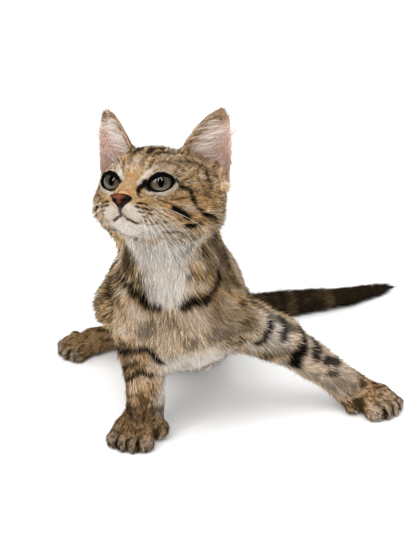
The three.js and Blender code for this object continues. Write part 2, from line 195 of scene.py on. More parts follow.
class Eye:
    def __init__(self, side, opening, gaze):
        self.side = side
        self.at = EYE_AT * (side, 1, 1)
        self.axis = direction(*opening)
        self.gaze = direction(*gaze)
        level = unit(np.cross(self.axis, (0, 0, 1))) * -side  # towards the outer corner
        rise = unit(np.array([0, 0, 1]) - self.axis * self.axis[2])
        tilt = math.radians(LID_TILT)
        self.out = level * math.cos(tilt) + rise * math.sin(tilt)
        self.up = rise * math.cos(tilt) - level * math.sin(tilt)

    def level(self, a, b, wider=(0, 0, 0, 0)):
        """1 on the edge of the opening, for degrees outwards and upwards from its axis."""
        outer, inner, above, below = np.add(LID_HALF, wider)
        width, height = np.where(a > 0, outer, inner), np.where(b > 0, above, below)
        return (np.abs(a / width) ** 1.7 + np.abs(b / height) ** 1.9) ** 0.56

    def opening(self, q, wider=(0, 0, 0, 0)):
        """Below 0 inside the lids' opening, or inside one that is some degrees wider."""
        u = unit(q - self.at)
        angle = np.degrees(np.arccos(np.clip(u @ self.axis, -1, 1)))
        a, b = u @ self.out, u @ self.up
        size = np.maximum(np.hypot(a, b), 1e-9)
        return self.level(a / size * angle, b / size * angle, wider) - 1

    def margin(self, angle, lift=0.0, spread=0.0):
        """The point of the lid's edge at an angle round the opening, in head axes."""
        a, b = math.cos(angle), math.sin(angle)
        reach = 20.0
        for _ in range(12):
            reach /= self.level(a * reach, b * reach)
        turn = math.radians(reach + spread)
        ray = self.axis * math.cos(turn) + (self.out * a + self.up * b) * math.sin(turn)
        return self.at + ray * (EYE_R + lift)


eyes = [Eye(1, (30, 5.5), (29, 5)), Eye(-1, (-13, 3.5), (-1, 2))]
print("eyes look", [eye.gaze.round(2).tolist() for eye in eyes])

# %% [markdown]
# ## The head as one form
#
# A kitten's head is a round skull with full cheeks and a short muzzle: a bridge, two whisker pads
# and a chin. A finer copy of the solid head would keep its corners, so the skin goes back to the
# masses themselves, which have no grain.

# %% Skull and muzzle
def both_sides(q):
    """Every point moved to the kitten's left, so that one form serves both sides."""
    return np.abs(q * (1, 0, 0)) + q * (0, 1, 1)


def from_nose(q):
    return np.linalg.norm(q - NOSE_AT, axis=1)


def head_form(q):
    m = both_sides(q)
    skull = melt(
        9,
        mass(q, (0, 5, 3), (29, 27, 22)),  # cranium
        mass(q, (0, -13, 7), (20, 12.5, 14)),  # forehead
        mass(m, (18.4, 7, -5), (18.6, 18, 17)),  # cheeks
        mass(m, (24, 14, 4), (9, 8, 10)),  # roots of the ears
        mass(q, (0, -6, -14), (24, 18, 11)),  # jaw
    )
    muzzle = melt(
        5,
        bone(q, (0, -19, 8), (0, -32, -4), 7.2, 5.4),  # bridge of the nose
        mass(m, (6.2, -30, -12), (8.2, 8, 7)),  # whisker pads
        bone(q, (0, -33, -7), (0, -35, -8.5), 5, 4),  # tip of the nose
        mass(q, (0, -26, -18.5), (8, 8, 6)),  # chin
        bone(m, (10, -22, -9), (19, -10, -8), 9, 10),  # from the pads to the cheeks
    )
    return melt(6, skull, muzzle)


print("middle of the skull:", -head_form(np.zeros((1, 3)))[0].round(1), "mm deep")

# %% [markdown]
# ## Lids over the eyeballs
#
# Round each eye the skin is drawn over the eyeball as lids. A hole cut into the mesh would have to
# be stitched to the ball. Here the lid is a shell one millimetre over it that melts into the face,
# with its opening hollowed out. The coat's depth is taken off too, least at the nose.

# %% The face with its lids
FACE_DEPTH = (0.7, 2.4)  # of the coat at the nose and at the back of the cheeks
LID_FOLD = 1.6  # how broadly the lid and the face run into one another


def closed_face(q):
    """The skin of the head with its lids, before the mouth is drawn into it."""
    thin, deep = FACE_DEPTH
    form = head_form(q) + thin + (deep - thin) * ramp(from_nose(q), 14, 50)
    for eye in eyes:
        r = np.linalg.norm(q - eye.at, axis=1)
        opening = eye.opening(q)
        form = melt(LID_FOLD, form, r - (EYE_R + LID) + 0.5 * ramp(opening, 0.1, 0.6))
        hollow = np.maximum(opening * 6, (EYE_R - 0.8) - r)
        form = np.maximum(form, -hollow)
    return form


def onto_form(q, form, weight=1.0, steps=3):
    """Pulls points onto the surface of a form, along its slope."""
    reach = 0.05
    q = np.asarray(q, float)
    for _ in range(steps):
        here = form(q)
        slope = np.stack([form(q + reach * axis) - here for axis in np.eye(3)], 1) / reach
        steep = np.maximum((slope * slope).sum(1), 0.25)
        move = np.clip(here / steep, -2.5, 2.5)
        q = q - slope * (move * weight)[:, None]
    return q


eye_wide = np.linalg.norm(eyes[0].margin(0) - eyes[0].margin(math.pi))
print("each eye opens", eye_wide.round(1), "mm wide")

# %% [markdown]
# ## Lips
#
# A calm kitten's mouth is a thin line that turns up at both ends, and a groove joins its middle to
# the nose. Lips could be rims of their own, but a closed pair shows this line only. So the skin is
# pressed in along three short paths on the face.

# %% Lips
GROOVE = 0.7  # half-width of the mouth's line
MOUTH_RIGHT = [(-0.9, -35.8, -15.8), (-3.1, -35.4, -17.1), (-6.1, -34.0, -18.9)]
MOUTH_LEFT = [(-0.9, -35.8, -15.8), (1.3, -35.2, -17.1), (4.5, -34.7, -18.2), (7.4, -32.2, -19.6)]
PHILTRUM = [(-0.2, -39.5, -11.0), (-0.6, -38.0, -12.6), (-0.9, -36.8, -14.2), (-0.9, -35.8, -15.8)]
MOUTH_RIGHT, MOUTH_LEFT, PHILTRUM = (
    onto_form(path, closed_face, steps=6) for path in (MOUTH_RIGHT, MOUTH_LEFT, PHILTRUM))


def mouth_distance(q):
    return np.minimum(path_distance(q, MOUTH_RIGHT), path_distance(q, MOUTH_LEFT))


def face_form(q):
    """The skin of the head: lids, lips and all."""
    form = closed_face(q)
    form += 1.0 * np.exp(-((mouth_distance(q) / GROOVE) ** 2))
    form += 0.9 * np.exp(-((path_distance(q, PHILTRUM) / (GROOVE * 0.9)) ** 2))
    return form


print("mouth:", np.linalg.norm(MOUTH_LEFT[-1] - MOUTH_RIGHT[-1]).round(1), "mm wide")

# %% [markdown]
# ## One skin from many solids
#
# A kitten has one hide, and the thin cuts between the solids must not show in it. So each solid is
# swollen by a third of a millimetre, an ear by more, and a voxel remesh wraps all of them in one
# closed surface. A Boolean union would keep their coarse faces and an edge at every cut.

# %% Wrap the flesh in one surface
SWELL = 0.35
EAR_SWELL = 0.8  # the ears are thin, and the wrap must not tear there
VOXEL = 1.15


def evaluated(obj):
    """The mesh of an object with its modifiers applied."""
    graph = bpy.context.evaluated_depsgraph_get()
    return bpy.data.meshes.new_from_object(obj.evaluated_get(graph), depsgraph=graph)


def new_object(name, data):
    obj = bpy.data.objects.new(name, data)
    bpy.context.scene.collection.objects.link(obj)
    return obj


def mesh_from(bm, name):
    """The finished mesh of a bmesh, which is freed."""
    made = bpy.data.meshes.new(name)
    bm.to_mesh(made)
    bm.free()
    return made


whole = bmesh.new()
for name in frame["nodes"]:
    part = bmesh.new()
    part.from_mesh(frame["nodes"][name].data)
    bmesh.ops.remove_doubles(part, verts=part.verts, dist=1e-6)
    part.normal_update()
    for v in part.verts:
        v.co += v.normal * (EAR_SWELL if "ear" in name else SWELL) * MM
    swollen = mesh_from(part, "swollen")
    whole.from_mesh(swollen)
    bpy.data.meshes.remove(swollen)
wrap = new_object("wrap", mesh_from(whole, "wrap"))
remesh = wrap.modifiers.new("one surface", "REMESH")
remesh.mode = "VOXEL"
remesh.voxel_size = VOXEL * MM
wrap.data = evaluated(wrap)
wrap.modifiers.clear()
print("wrapped:", len(wrap.data.vertices), "points")

# %% [markdown]
# ## Points as arrays
#
# From here on the skin is a list of points to be moved, combed and coloured by rules. Blender
# hands them out one by one, which is slow, or all at once in a flat array. These helpers read and
# write arrays, in the sculptor's millimetres.

# %% Read and write a mesh
def read_rows(items, name, width, kind=np.float32):
    """One value of every item, such as every vertex's co, as the rows of an array."""
    flat = np.empty(len(items) * width, kind)
    items.foreach_get(name, flat)
    return flat.reshape(-1, width)


def read_points(mesh):
    return read_rows(mesh.vertices, "co", 3).astype(float) / MM - SHIFT


def write_points(mesh, points):
    flat = ((points + SHIFT) * MM).astype(np.float32).ravel()
    mesh.vertices.foreach_set("co", flat)
    mesh.update()


def read_edges(mesh):
    return read_rows(mesh.edges, "vertices", 2, np.int32)


def read_normals(mesh):
    return read_rows(mesh.vertex_normals, "vector", 3).astype(float)


print("the wrap is", np.ptp(read_points(wrap.data), axis=0).round(1), "mm in size")

# %% [markdown]
# ## Which part a point belongs to
#
# The coat is long on the back and short on the paws. Painting such regions by hand is slow, and
# the solids know them already. So each point of the skin takes the name of the part whose face is
# nearest.

# %% Name every point of the skin
PARTS = sorted(frame["nodes"])


def solids_tree():
    points, faces, owners = [], [], []
    for index, name in enumerate(PARTS):
        mesh = frame["nodes"][name].data
        start = len(points)
        points += [v.co.copy() for v in mesh.vertices]
        faces += [[start + i for i in p.vertices] for p in mesh.polygons]
        owners += [index] * len(mesh.polygons)
    return BVHTree.FromPolygons(points, faces), owners


tree, owners = solids_tree()


def parts_of(points):
    found = [tree.find_nearest(Vector(p))[2] for p in (points + SHIFT) * MM]
    return np.array([owners[i] for i in found])


def is_part(part, *words):
    """Which points belong to parts whose names hold one of these words."""
    chosen = [i for i, name in enumerate(PARTS) if any(word in name for word in words)]
    return np.isin(part, chosen)


print("parts to ask for:", len(PARTS))

# %% [markdown]
# ## Gradual changes
#
# On a real coat nothing changes at a line: the hair gets shorter over a finger's breadth. So a
# number that jumps from part to part is averaged with its neighbours' again and again. Done to the
# points themselves, this is what a smoothing brush does.

# %% Averages over neighbours
def mean_of_neighbours(values, edges):
    a, b = edges[:, 0], edges[:, 1]
    n = len(values)
    degree = np.maximum(np.bincount(a, minlength=n) + np.bincount(b, minlength=n), 1)
    columns = values.reshape(n, -1)
    total = [np.bincount(a, c[b], n) + np.bincount(b, c[a], n) for c in columns.T]
    return (np.array(total).T / degree[:, None]).reshape(values.shape)


def even_out(values, edges, passes, amount=0.5):
    for _ in range(passes):
        values = values + amount * (mean_of_neighbours(values, edges) - values)
    return values


step_at = np.array([[0, 1], [1, 2], [2, 3]])
print("a step evened out:", even_out(np.array([0.0, 0, 1, 1]), step_at, 3).round(2))

# %% [markdown]
# ## Fine where it is looked at
#
# A millimetre between points is enough under long hair and far too coarse for a lid. Splitting
# everything would cost millions of faces. So trunk and legs are thinned out first, which leaves
# room to split every face on the front half of the head in four.

# %% Thin the body, split the face
def thinned(obj, keep_fine, ratio):
    group = obj.vertex_groups.new(name="coarse")
    group.add([int(i) for i in np.flatnonzero(~keep_fine)], 1.0, "REPLACE")
    tool = obj.modifiers.new("thin out", "DECIMATE")
    tool.ratio = ratio
    tool.vertex_group = group.name
    obj.data = evaluated(obj)
    obj.modifiers.clear()
    obj.vertex_groups.clear()


def split_faces(mesh, chosen):
    """Every edge between two chosen points is cut in half, and the faces with it."""
    bm = bmesh.new()
    bm.from_mesh(mesh)
    bm.verts.ensure_lookup_table()
    cut = [e for e in bm.edges if chosen[e.verts[0].index] and chosen[e.verts[1].index]]
    bmesh.ops.subdivide_edges(bm, edges=cut, cuts=1, use_grid_fill=True)
    bmesh.ops.triangulate(bm, faces=bm.faces)
    bm.to_mesh(mesh)
    bm.free()
    mesh.update()


points = read_points(wrap.data)
part = parts_of(points)
fine = is_part(part, "head", "ear", "nose", "eye", "paw", "foot")
thinned(wrap, fine, 0.33)
points = read_points(wrap.data)
part = parts_of(points)
print("thinned:", len(points), "points")
split_faces(wrap.data, is_part(part, "head", "nose", "eye") & (to_head(points)[:, 1] < 2))
points = read_points(wrap.data)
print("head split:", len(points), "points")

# %% [markdown]
# ## From the coat's tips down to the skin
#
# The solids reach to the tips of the coat, and the skin lies deeper: three and a half millimetres
# on the chest, a third of one on an ear. One long step inwards would fold it where a leg meets the
# belly, so it sinks in small ones, each smoothed. The head goes to its own form instead.

# %% Sink the skin
DEPTH = {  # of the coat, by part
    "head": 2.0, "neck": 3.4, "chest": 3.6, "belly": 3.0, "rump": 3.0,
    "tail_base": 2.8, "tail_middle": 2.4, "tail_tip": 1.8, "upper": 2.4, "lower": 1.6,
    "paw": 0.9, "thigh": 2.7, "foot": 1.1, "ear": 0.35, "nose": 0.8, "eye": 0.8,
}


def by_part(part, table):
    """A number for each point from a table of part names."""
    values = np.zeros(len(part))
    for word, value in table.items():
        values[is_part(part, word)] = value
    return values


SINK_STEPS = 5
mesh = wrap.data
edges = read_edges(mesh)
part = parts_of(points)
points = even_out(points, edges, 4)
swell = np.where(is_part(part, "ear"), EAR_SWELL, SWELL)
depth = even_out(by_part(part, DEPTH) + swell, edges, 10)
headness = even_out(is_part(part, "head", "nose", "eye").astype(float), edges, 6)
earness = even_out(is_part(part, "ear").astype(float), edges, 3)
facial = ramp(headness, 0.45, 0.9) * (1 - ramp(earness, 0.02, 0.3))
for _ in range(SINK_STEPS):
    write_points(mesh, points)
    points = points - read_normals(mesh) * (depth * (1 - facial) / SINK_STEPS)[:, None]
    points = even_out(points, edges, 1, 0.3)
on_head = facial > 0.01
for _ in range(4):
    points = even_out(points, edges, 1, 0.4)
    q = to_head(points[on_head])
    points[on_head] = from_head(onto_form(q, face_form, facial[on_head]))
write_points(mesh, points)
print("skin sunk by", depth.min().round(2), "to", depth.max().round(2), "mm")

# %% [markdown]
# ## The form of a foot
#
# A cat's foot has four toes that fan out round a broad pad, and a forefoot its first toe as well,
# high on the inner side. Smoothing has rounded them into one another. So each toe is a bone that
# bends down to the floor, and all four feet are one form with other numbers.

# %% Four toes and a heel
FEET = [  # name, where it stands, degrees turned, toe radius, spacing, reach, side of the first toe
    ("foreleg_right", (-43.2, 7.5), -15, 5.5, 5.6, 12.3, 1),
    ("foreleg_left", (98, 44), 42, 5.5, 5.6, 12.3, -1),
    ("hindleg_right", (-83, 118), -57, 5.2, 5.2, 11.0, 0),
    ("hindleg_left", (-2, 121), 4, 5.2, 5.2, 11.0, 0),
]
TOES = (-1.5, -0.5, 0.5, 1.5)
TOE_DEPTH = 0.8  # of the coat on the toes


def to_foot(p, at, turned):
    return (p - (*at, 0)) @ turn_about("Z", turned)


def foot_form(radius, spread, reach, first):
    def form(f):
        toes = [
            bone(f, (k * spread * 0.85, 0, radius + 2.6),
                 (k * spread * 1.05, abs(k) * 2.6 - reach, radius - 1.2), radius - 0.2, radius)
            for k in TOES
        ]
        if first:
            back = [mass(f, (0, 6, 7.5), (12, 12, 8.5)), mass(f, (0, 2, 4), (11, 10, 6)),
                    mass(f, (first * 14, 5, 7.3), (4.9, 5.0, 6.4))]
        else:
            back = [mass(f, (0, 3, 5), (9.5, 9, 6.5))]
        return melt(3.5, melt(1.8, *toes), *back) + TOE_DEPTH
    return form


print("toes:", sum(len(TOES) + bool(first) for *_, first in FEET))

# %% [markdown]
# ## Onto the feet
#
# The gap between two toes is narrower than a face of the skin, so the faces of the feet are split
# first. Then their points are pulled onto the foot's form in three rounds, each after a little
# smoothing, and less and less towards the leg, so that no step shows.

# %% Split the feet and shape the toes
part = parts_of(points)
toes = np.zeros(len(points), bool)
for name, at, turned, *_ in FEET:
    ahead = to_foot(points, at, turned)
    toes |= is_part(part, name) & (ahead[:, 1] < 1) & (ahead[:, 2] < 16) & (ahead[:, 2] > 0.5)
split_faces(mesh, toes)
points = read_points(mesh)
edges = read_edges(mesh)
part = parts_of(points)
for name, at, turned, radius, spread, reach, first in FEET:
    local = to_foot(points, at, turned)
    near = is_part(part, name) & (local[:, 1] < 8) & (local[:, 1] > -25) & (local[:, 2] < 22)
    weight = near * ramp(-local[:, 1], -6, 0)
    if first:
        weight = np.maximum(weight, near * ramp(first * local[:, 0], 11, 14) * (local[:, 2] < 15))
    weight = even_out(weight, edges, 3)
    moved = weight > 0.01
    for _ in range(3):
        points = points + (0.3 * weight)[:, None] * (mean_of_neighbours(points, edges) - points)
        local = to_foot(points[moved], at, turned)
        local = onto_form(local, foot_form(radius, spread, reach, first), weight[moved])
        points[moved] = local @ turn_about("Z", turned).T + (*at, 0)
write_points(mesh, points)
print("feet:", len(FEET), "and", len(points), "points")

# %% [markdown]
# ## A finer face
#
# Lids' edges and the line of the lips are the sharpest forms on a kitten. Splitting the whole head
# again would take half of the faces that one piece may have, so only the muzzle and the skin next
# to the eyeballs are split and pulled onto the face's form once more.

# %% Split the face again and sharpen lids and lips
FLOOR_CLEAR = 0.02  # no point of the skin is lower than this
part = parts_of(points)
q = to_head(points)
near_eye = np.min([np.abs(np.linalg.norm(q - eye.at, axis=1) - EYE_R) for eye in eyes], axis=0) < 3
ahead = q[:, 1] < np.where(near_eye, -12, -27)
split_faces(mesh, is_part(part, "head", "nose", "eye") & ahead)
points = read_points(mesh)
edges = read_edges(mesh)
part = parts_of(points)
q = to_head(points)
face = is_part(part, "head", "nose", "eye") & (q[:, 1] < -10)
weight = even_out(face.astype(float), edges, 3)
on_face = weight > 0.01
for _ in range(4):
    points = points + (0.35 * weight)[:, None] * (mean_of_neighbours(points, edges) - points)
    q = to_head(points[on_face])
    points[on_face] = from_head(onto_form(q, face_form, weight[on_face]))
points[:, 2] = np.maximum(points[:, 2], FLOOR_CLEAR)
write_points(mesh, points)
part = parts_of(points)
print("skin:", len(mesh.vertices), "points,", len(mesh.polygons), "faces")

# %% [markdown]
# ## The lie of the coat
#
# A cat's hair grows away from the nose: back over the forehead, down the throat, along back and
# flanks, down each leg and along the tail. It could be combed with a brush, stroke by stroke. By
# rule it points away from the head on the trunk and follows a limb on a limb, and averaging makes
# bends of the changes.

# %% Directions of the hair
LIMB_LIE = {  # from where to where the hair lies on each limb
    "foreleg_right_upper": ((-37, 6, 92), (-41, 22, 50)),
    "foreleg_right_lower": ((-41, 22, 62), (-38, 12, 22)),
    "foreleg_right_paw": ((-42, 9, 14), (-47, -10, 2)),
    "foreleg_left_upper": ((0, 14, 79), (36, 31, 56)),
    "foreleg_left_lower": ((36, 31, 56), (84, 49, 12)),
    "foreleg_left_paw": ((92, 50, 14), (108, 32, 2)),
    "hindleg_right_foot": ((-60, 128, 14), (-92, 110, 2)),
    "hindleg_left_foot": ((-2, 140, 14), (-1, 108, 4)),
}
TAIL = [(-20, 150, 26), (-4, 165, 12), (34, 171.5, 8.5), (63, 180, 7.8), (93, 191.5, 6.6),
        (128, 215, 3.4)]
DOWNWARD = np.array([0, 0.1, -0.35])  # what weight adds to the lie on the trunk

normals = read_normals(mesh)
q = to_head(points)
lie = unit(points - HEAD_AT) + DOWNWARD
for name, (start, end) in LIMB_LIE.items():
    lie[is_part(part, name)] = unit(np.subtract(end, start))
tail = is_part(part, "tail")
which = np.argmin([along_bone(points[tail], a, b)[1] for a, b in zip(TAIL[:-1], TAIL[1:])], axis=0)
lie[tail] = unit(np.subtract(TAIL[1:], TAIL[:-1]))[which]
on_face = is_part(part, "head", "nose", "eye")
lie[on_face] = unit(q[on_face] - (NOSE_AT + (0, 4, -1))) @ HEAD_TURN.T
side = np.sign(q[:, 0])
ear = is_part(part, "ear")
to_tip = unit(np.stack([0.28 * side, 0 * side, 1 + 0 * side], 1))
lie[ear] = (to_tip @ HEAD_TURN.T)[ear]
lie = even_out(lie, edges, 10)
lie = unit(lie - normals * (lie * normals).sum(1)[:, None])
print("combed", len(lie), "points")

# %% [markdown]
# ## How long and how raised
#
# A groomer would say: two millimetres on the nose, three on a paw, seven on the chest, nine on
# back and belly. Two tables hold the lengths and the angles at which hair leaves the skin, which
# is quicker than painting them. Raised tufts are fluffy, and flat ones, as on the ears, are sleek.

# %% Length and lift of the tufts
LENGTH = {
    "neck": 7.0, "chest": 7.2, "belly": 9.5, "rump": 9.0, "tail_base": 8.5, "tail_middle": 7.5,
    "tail_tip": 6.5, "upper": 7.4, "lower": 6.2, "paw": 3.0, "thigh": 8.4, "foot": 3.3, "ear": 2.2,
}
LIFT = {
    "head": 22, "nose": 20, "eye": 20, "neck": 27, "chest": 27, "belly": 27, "rump": 27, "tail": 25,
    "upper": 27, "lower": 29, "paw": 22, "thigh": 26, "foot": 22, "ear": 8,
}
FACE_LENGTH = (1.9, 6.0)  # at the nose and at the back of the cheeks
BIB_EXTRA = 2.2

on_body = 1.0 - is_part(part, "head", "nose", "eye", "ear", "paw", "foot")
length = by_part(part, LENGTH)
short, long = FACE_LENGTH
face_length = short + (long - short) * ramp(from_nose(q), 7, 60)
crown = ramp(q[:, 2], 17, 24) * (1 - ramp(np.abs(q[:, 0]), 10, 18))
face_length -= 1.4 * ramp(q[:, 2], 2, 12) * ramp(-q[:, 1], -12, 6) * (1 - crown)  # a shorter forehead
face_length += 1.5 * crown
ruff = ramp(from_nose(q), 30, 46) * ramp(-q[:, 2], 4, 14)  # the fluff under the cheeks
face_length += 3.0 * ruff
length[on_face] = face_length[on_face]
length += BIB_EXTRA * ramp(-points[:, 1], -4, 10) * ramp(points[:, 2], 84, 96) * ~on_face * ~ear
length = even_out(length, edges, 8)
lift = even_out(by_part(part, LIFT) + (16 * crown + 12 * ruff) * on_face, edges, 8)
print("hair", length.min().round(1), "to", length.max().round(1), "mm long")

# %% [markdown]
# ## How a tuft bends
#
# A hair leaves the skin at an angle and then lies down under its own weight. Simulating that
# would take minutes. A curve of the second degree has this shape already: it starts in one
# direction and ends in another.

# %% The bend of a tuft
SEEN = 0.7  # the stretch of a tuft that shows most, from its root
LIES_DOWN = 0.4  # the angle at the tip, to that at the root


def bend(roots, first, last, tall, s):
    """The point at s, 0 to 1, of tufts that turn from their first direction to their last."""
    return roots + tall[:, None] * ((s - s * s / 2) * first + s * s / 2 * last)


def raised_ways(way, up, degrees):
    """A tuft's first and last direction: it leaves the skin at this angle and lies down."""
    root, tip = np.radians(degrees)[:, None], np.radians(degrees * LIES_DOWN)[:, None]
    return way * np.cos(root) + up * np.sin(root), way * np.cos(tip) + up * np.sin(tip)


seen = bend(points, *raised_ways(lie, normals, lift), length, SEEN)
print("the coat shows", np.linalg.norm(seen - points, axis=1).mean().round(1), "mm from the skin")

# %% [markdown]
# ## Locks
#
# Hairs stick together in locks, and neighbouring locks differ in their way, length and colour.
# Hair by hair, chance gives a scrubby mat. So the random numbers are drawn on the skin and
# evened out there, until all hairs of one lock share nearly the same number.

# %% Random numbers by the lock
def locks(passes, seed):
    """A random number for each point, evened out until neighbours agree over some millimetres."""
    values = even_out(np.random.default_rng(seed).normal(size=len(points)), edges, passes)
    return values / values.std()


swirl, fluff, shag, tint = locks(30, 1), locks(12, 2), locks(8, 3), locks(20, 4)
clump, grain = locks(5, 7), locks(3, 5)
flecks = np.where(is_part(part, "paw", "foot"), locks(3, 8), locks(2, 6))
print("locks on", len(swirl), "points")

# %% [markdown]
# ## The tabby's pattern
#
# A tabby is marked on skin and hair alike, by three numbers: how dark, how warm and how pale it
# is. Painting them on a picture would need a flat map of the cat first. Here a stripe is a path
# with a half-width, a field is a soft mass, and one function reads them for skin and coat.

# %% Strokes and fields on the head
HEAD_DARK = [  # half-width, strength, path in head axes; all are mirrored
    # from the outer corner of the eye, down behind the cheek
    (1.6, 1.0, [(20, -18, 4.6), (23.2, -14.8, 3.6), (26.1, -12.1, 1.9), (27.9, -11.9, -1.1)]),
    (1.6, 1.0, [(27.9, -11.9, -1.1), (29.2, -11.5, -4.6), (30.3, -9.5, -7.4), (31.9, -4.7, -9.9)]),
    (1.9, 1.0, [(30.6, -7, -9), (33, -1.6, -11.6), (35, 4, -13)]),
    # across the cheek
    (0.7, 0.7, [(22.3, -17.3, 0.7), (24.7, -14, 2.2)]),
    (0.7, 0.85, [(20.6, -22.6, -5.1), (23.6, -19.2, -4.6), (25.6, -16.4, -3.2)]),
    (0.8, 0.8, [(17.5, -26.6, -6.7), (20.6, -23.3, -7.2), (23.3, -20.2, -9.8), (25.4, -16.8, -12.5)]),
    (1.8, 1.0, [(22, -21.8, -9.6), (25.1, -17.7, -11), (27.2, -12.8, -14)]),
    (1.9, 1.0, [(25.4, -9.1, -17.9), (27.3, -4.3, -17.3), (30.2, -2.3, -14.9)]),
    (1.6, 0.7, [(14, -12, -24), (19, -8, -23), (23.7, -3.1, -20.5)]),
    # down from the eye's inner corner
    (1.5, 0.97, [(7.9, -26.6, 2.1), (7, -28.2, 0.8), (6.4, -29.8, -0.6), (6.4, -32.2, -2.4)]),
    (0.9, 0.8, [(6.4, -32.2, -2.4), (7.3, -33.8, -4.4), (8.6, -33.4, -5.2)]),
    # rows of the whisker pad
    (0.7, 0.95, [(8.5, -36.6, -9.2), (10.3, -35.8, -9.3), (12.5, -34.4, -9.6)]),
    (0.7, 0.95, [(8.1, -37.7, -11.1), (9.6, -37.1, -11.4)]),
    (0.7, 0.95, [(11.2, -36.1, -11.7), (12.7, -34.5, -11.8), (14.4, -32, -12.2)]),
    (0.6, 0.8, [(9.6, -36.9, -13.7), (11.6, -35.3, -13.9)]),
    (0.6, 0.8, [(12.9, -33.4, -13.6), (14.6, -30.6, -14.2)]),
    (2.2, 0.22, [(9.6, -36.4, -10.6), (13.5, -33.0, -11.2)]),
    (0.6, 0.65, [(10.8, -35.2, -15.6), (12.8, -32.6, -16.2)]),
    # the M, and the bands that run back from it
    (0.9, 0.4, [(12, -21.5, 13.9), (12.8, -22.7, 10.6)]),
    (1.4, 0.5, [(5.6, -19, 19), (4.1, -23.9, 15.4), (3.4, -25.6, 12.2)]),
    (1.0, 0.55, [(8.6, -22.6, 14.8), (8, -24.9, 11)]),
    (1.3, 0.6, [(12.5, -20.8, 14.8), (17.8, -16.2, 14.5), (21.8, -11.9, 12.1)]),
    (2.0, 0.92, [(4, -18.6, 19.4), (3.4, -14, 22.6), (4.5, -4, 26), (4.5, 8, 27), (4, 22, 22)]),
    (1.8, 0.86, [(8, -17.6, 19.4), (10.1, -12.7, 21), (12, -2, 23.5), (12, 10, 24), (10, 24, 18)]),
    (1.5, 0.6, [(17, -12, 16), (20, -4, 18), (21, 6, 18)]),
    (1.1, 0.55, [(28.2, -6.1, 6.9), (33.1, -3, -0.4), (35.2, 0.4, -7.7)]),
    # painted shade where the ear's hollow ends
    (1.5, 0.85, [(29.0, 3.4, 12.0), (31.3, 1.2, 7.9), (32.9, -0.6, 4.1)]),
]
LEFT_DARK = [  # only on the left
    (0.7, 0.7, [(9.9, -26, -19.6), (11, -23, -19.6), (13.6, -21.7, -18.6)]),
    (1.7, 1.0, [(9.4, -25, 3.2), (8.5, -26.8, 2.6), (8.1, -27.0, 1.5), (7.4, -27.4, 1.4)]),
]
HEAD_WARM = [  # strength, softness, centre, half-sizes; the same on both sides
    (0.85, 3.0, (12.5, -33, -11.0), (5.0, 5, 3.0)),  # among the whiskers' rows
    (1.0, 3.0, (0, -33, -1.5), (6.0, 6, 5.0)),
    (0.45, 6.0, (10, -20, 16), (10, 8, 6)),
    (0.6, 2.0, (5.2, -24, 16), (1.6, 4, 3.5)),
    (0.95, 5.0, (22, -20, -7), (8, 8, 7)),
    (0.65, 5.0, (31, -5, 0), (6, 10, 11)),
    (0.95, 5.0, (27, -12, -14), (8, 10, 7)),
]
BRIDGE_WARM = [(0.9, 4.0, (0.5, -28, 5), (3.8, 7, 8))]
HEAD_PALE = [
    (0.8, 2.5, (4.5, -36, -15.5), (6.5, 7, 5.0)),  # lips
    (1.0, 3.0, (0, -27, -23), (12, 12, 6.0)),  # chin and throat
    (0.3, 2.0, (15, -21.5, 11.0), (6.5, 4, 1.3)),  # brow
    (0.2, 3.0, (14, -28, -15), (6, 8, 4.0)),
    (0.35, 2.5, (27, -12, -8.6), (4, 6, 2.0)),
    (0.55, 4.0, (13, -14, -23), (11, 14, 6)),
    (0.35, 3.0, (0, -26, 12), (3.0, 4, 5.0)),
    (0.2, 3.0, (0, -32, -1), (3.5, 5, 4.0)),  # end of the bridge
    (0.85, 5.0, (0, -20, -25), (17, 15, 7)),  # under the jaw
]
HEAD_LIGHT = [  # as the dark ones
    # inner brow, then round the eye
    (1.5, 0.9, [(5.5, -29.8, 1.6), (6.3, -28.1, 3.4), (7.1, -26.8, 5.6), (8.2, -25.9, 7.8)]),
    (1.1, 0.65, [(8.2, -25.9, 7.8), (9.3, -24.9, 9.5), (10.8, -23.6, 10.7), (12.9, -22.3, 11.5)]),
    (0.9, 0.75, [(8.6, -28.7, -1.7), (11, -28.8, -2.9), (13.8, -27.6, -3.1), (17, -24.1, -2.1)]),
    (1.1, 0.6, [(17, -24.1, -2.1), (20, -20.7, 0.5), (22.5, -17.5, 3)]),
    (0.9, 0.3, [(21.5, -20.5, -7.2), (26, -15, -7.5), (29, -9.5, -12)]),  # across the cheek
]
print("on the head:", len(HEAD_DARK + LEFT_DARK + HEAD_LIGHT), "strokes")

# %% [markdown]
# ## From a path to a painted stroke
#
# A stripe lies on the coat, and a path that floats over it or sinks into it paints too thin a
# line. So every point of a path is moved to the nearest place where the coat shows, which a tree
# finds at once among a hundred thousand.

# %% Strokes and fields
coat_tree = KDTree(len(seen))
for index, place in enumerate(seen):
    coat_tree.insert(place, index)
coat_tree.balance()


def on_coat(strokes, place=np.asarray, sides=(1,)):
    """Strokes with their paths moved onto the coat, on one side or mirrored to both."""
    ready = []
    for half, strength, path in strokes:
        for side in sides:
            placed = place(np.array(path, float) * (side, 1, 1))
            nearest = [coat_tree.find(Vector(p))[1] for p in placed]
            ready.append((half, strength, seen[nearest]))
    return ready


def painted(p, strokes):
    total = np.zeros(len(p))
    for half, strength, path in strokes:
        low, high = path.min(0) - 2 * half, path.max(0) + 2 * half
        close = np.flatnonzero(((p > low) & (p < high)).all(1))
        near = path_distance(p[close], path)
        total[close] = np.maximum(total[close], strength * (1 - ramp(near, half * 0.6, half * 1.4)))
    return total


def washed(p, fields):
    total = np.zeros(len(p))
    for strength, soft, centre, half in fields:
        depth_in = mass(p, np.array(centre), np.array(half))
        total = np.maximum(total, strength * (1 - ramp(depth_in, -soft / 2, soft)))
    return total


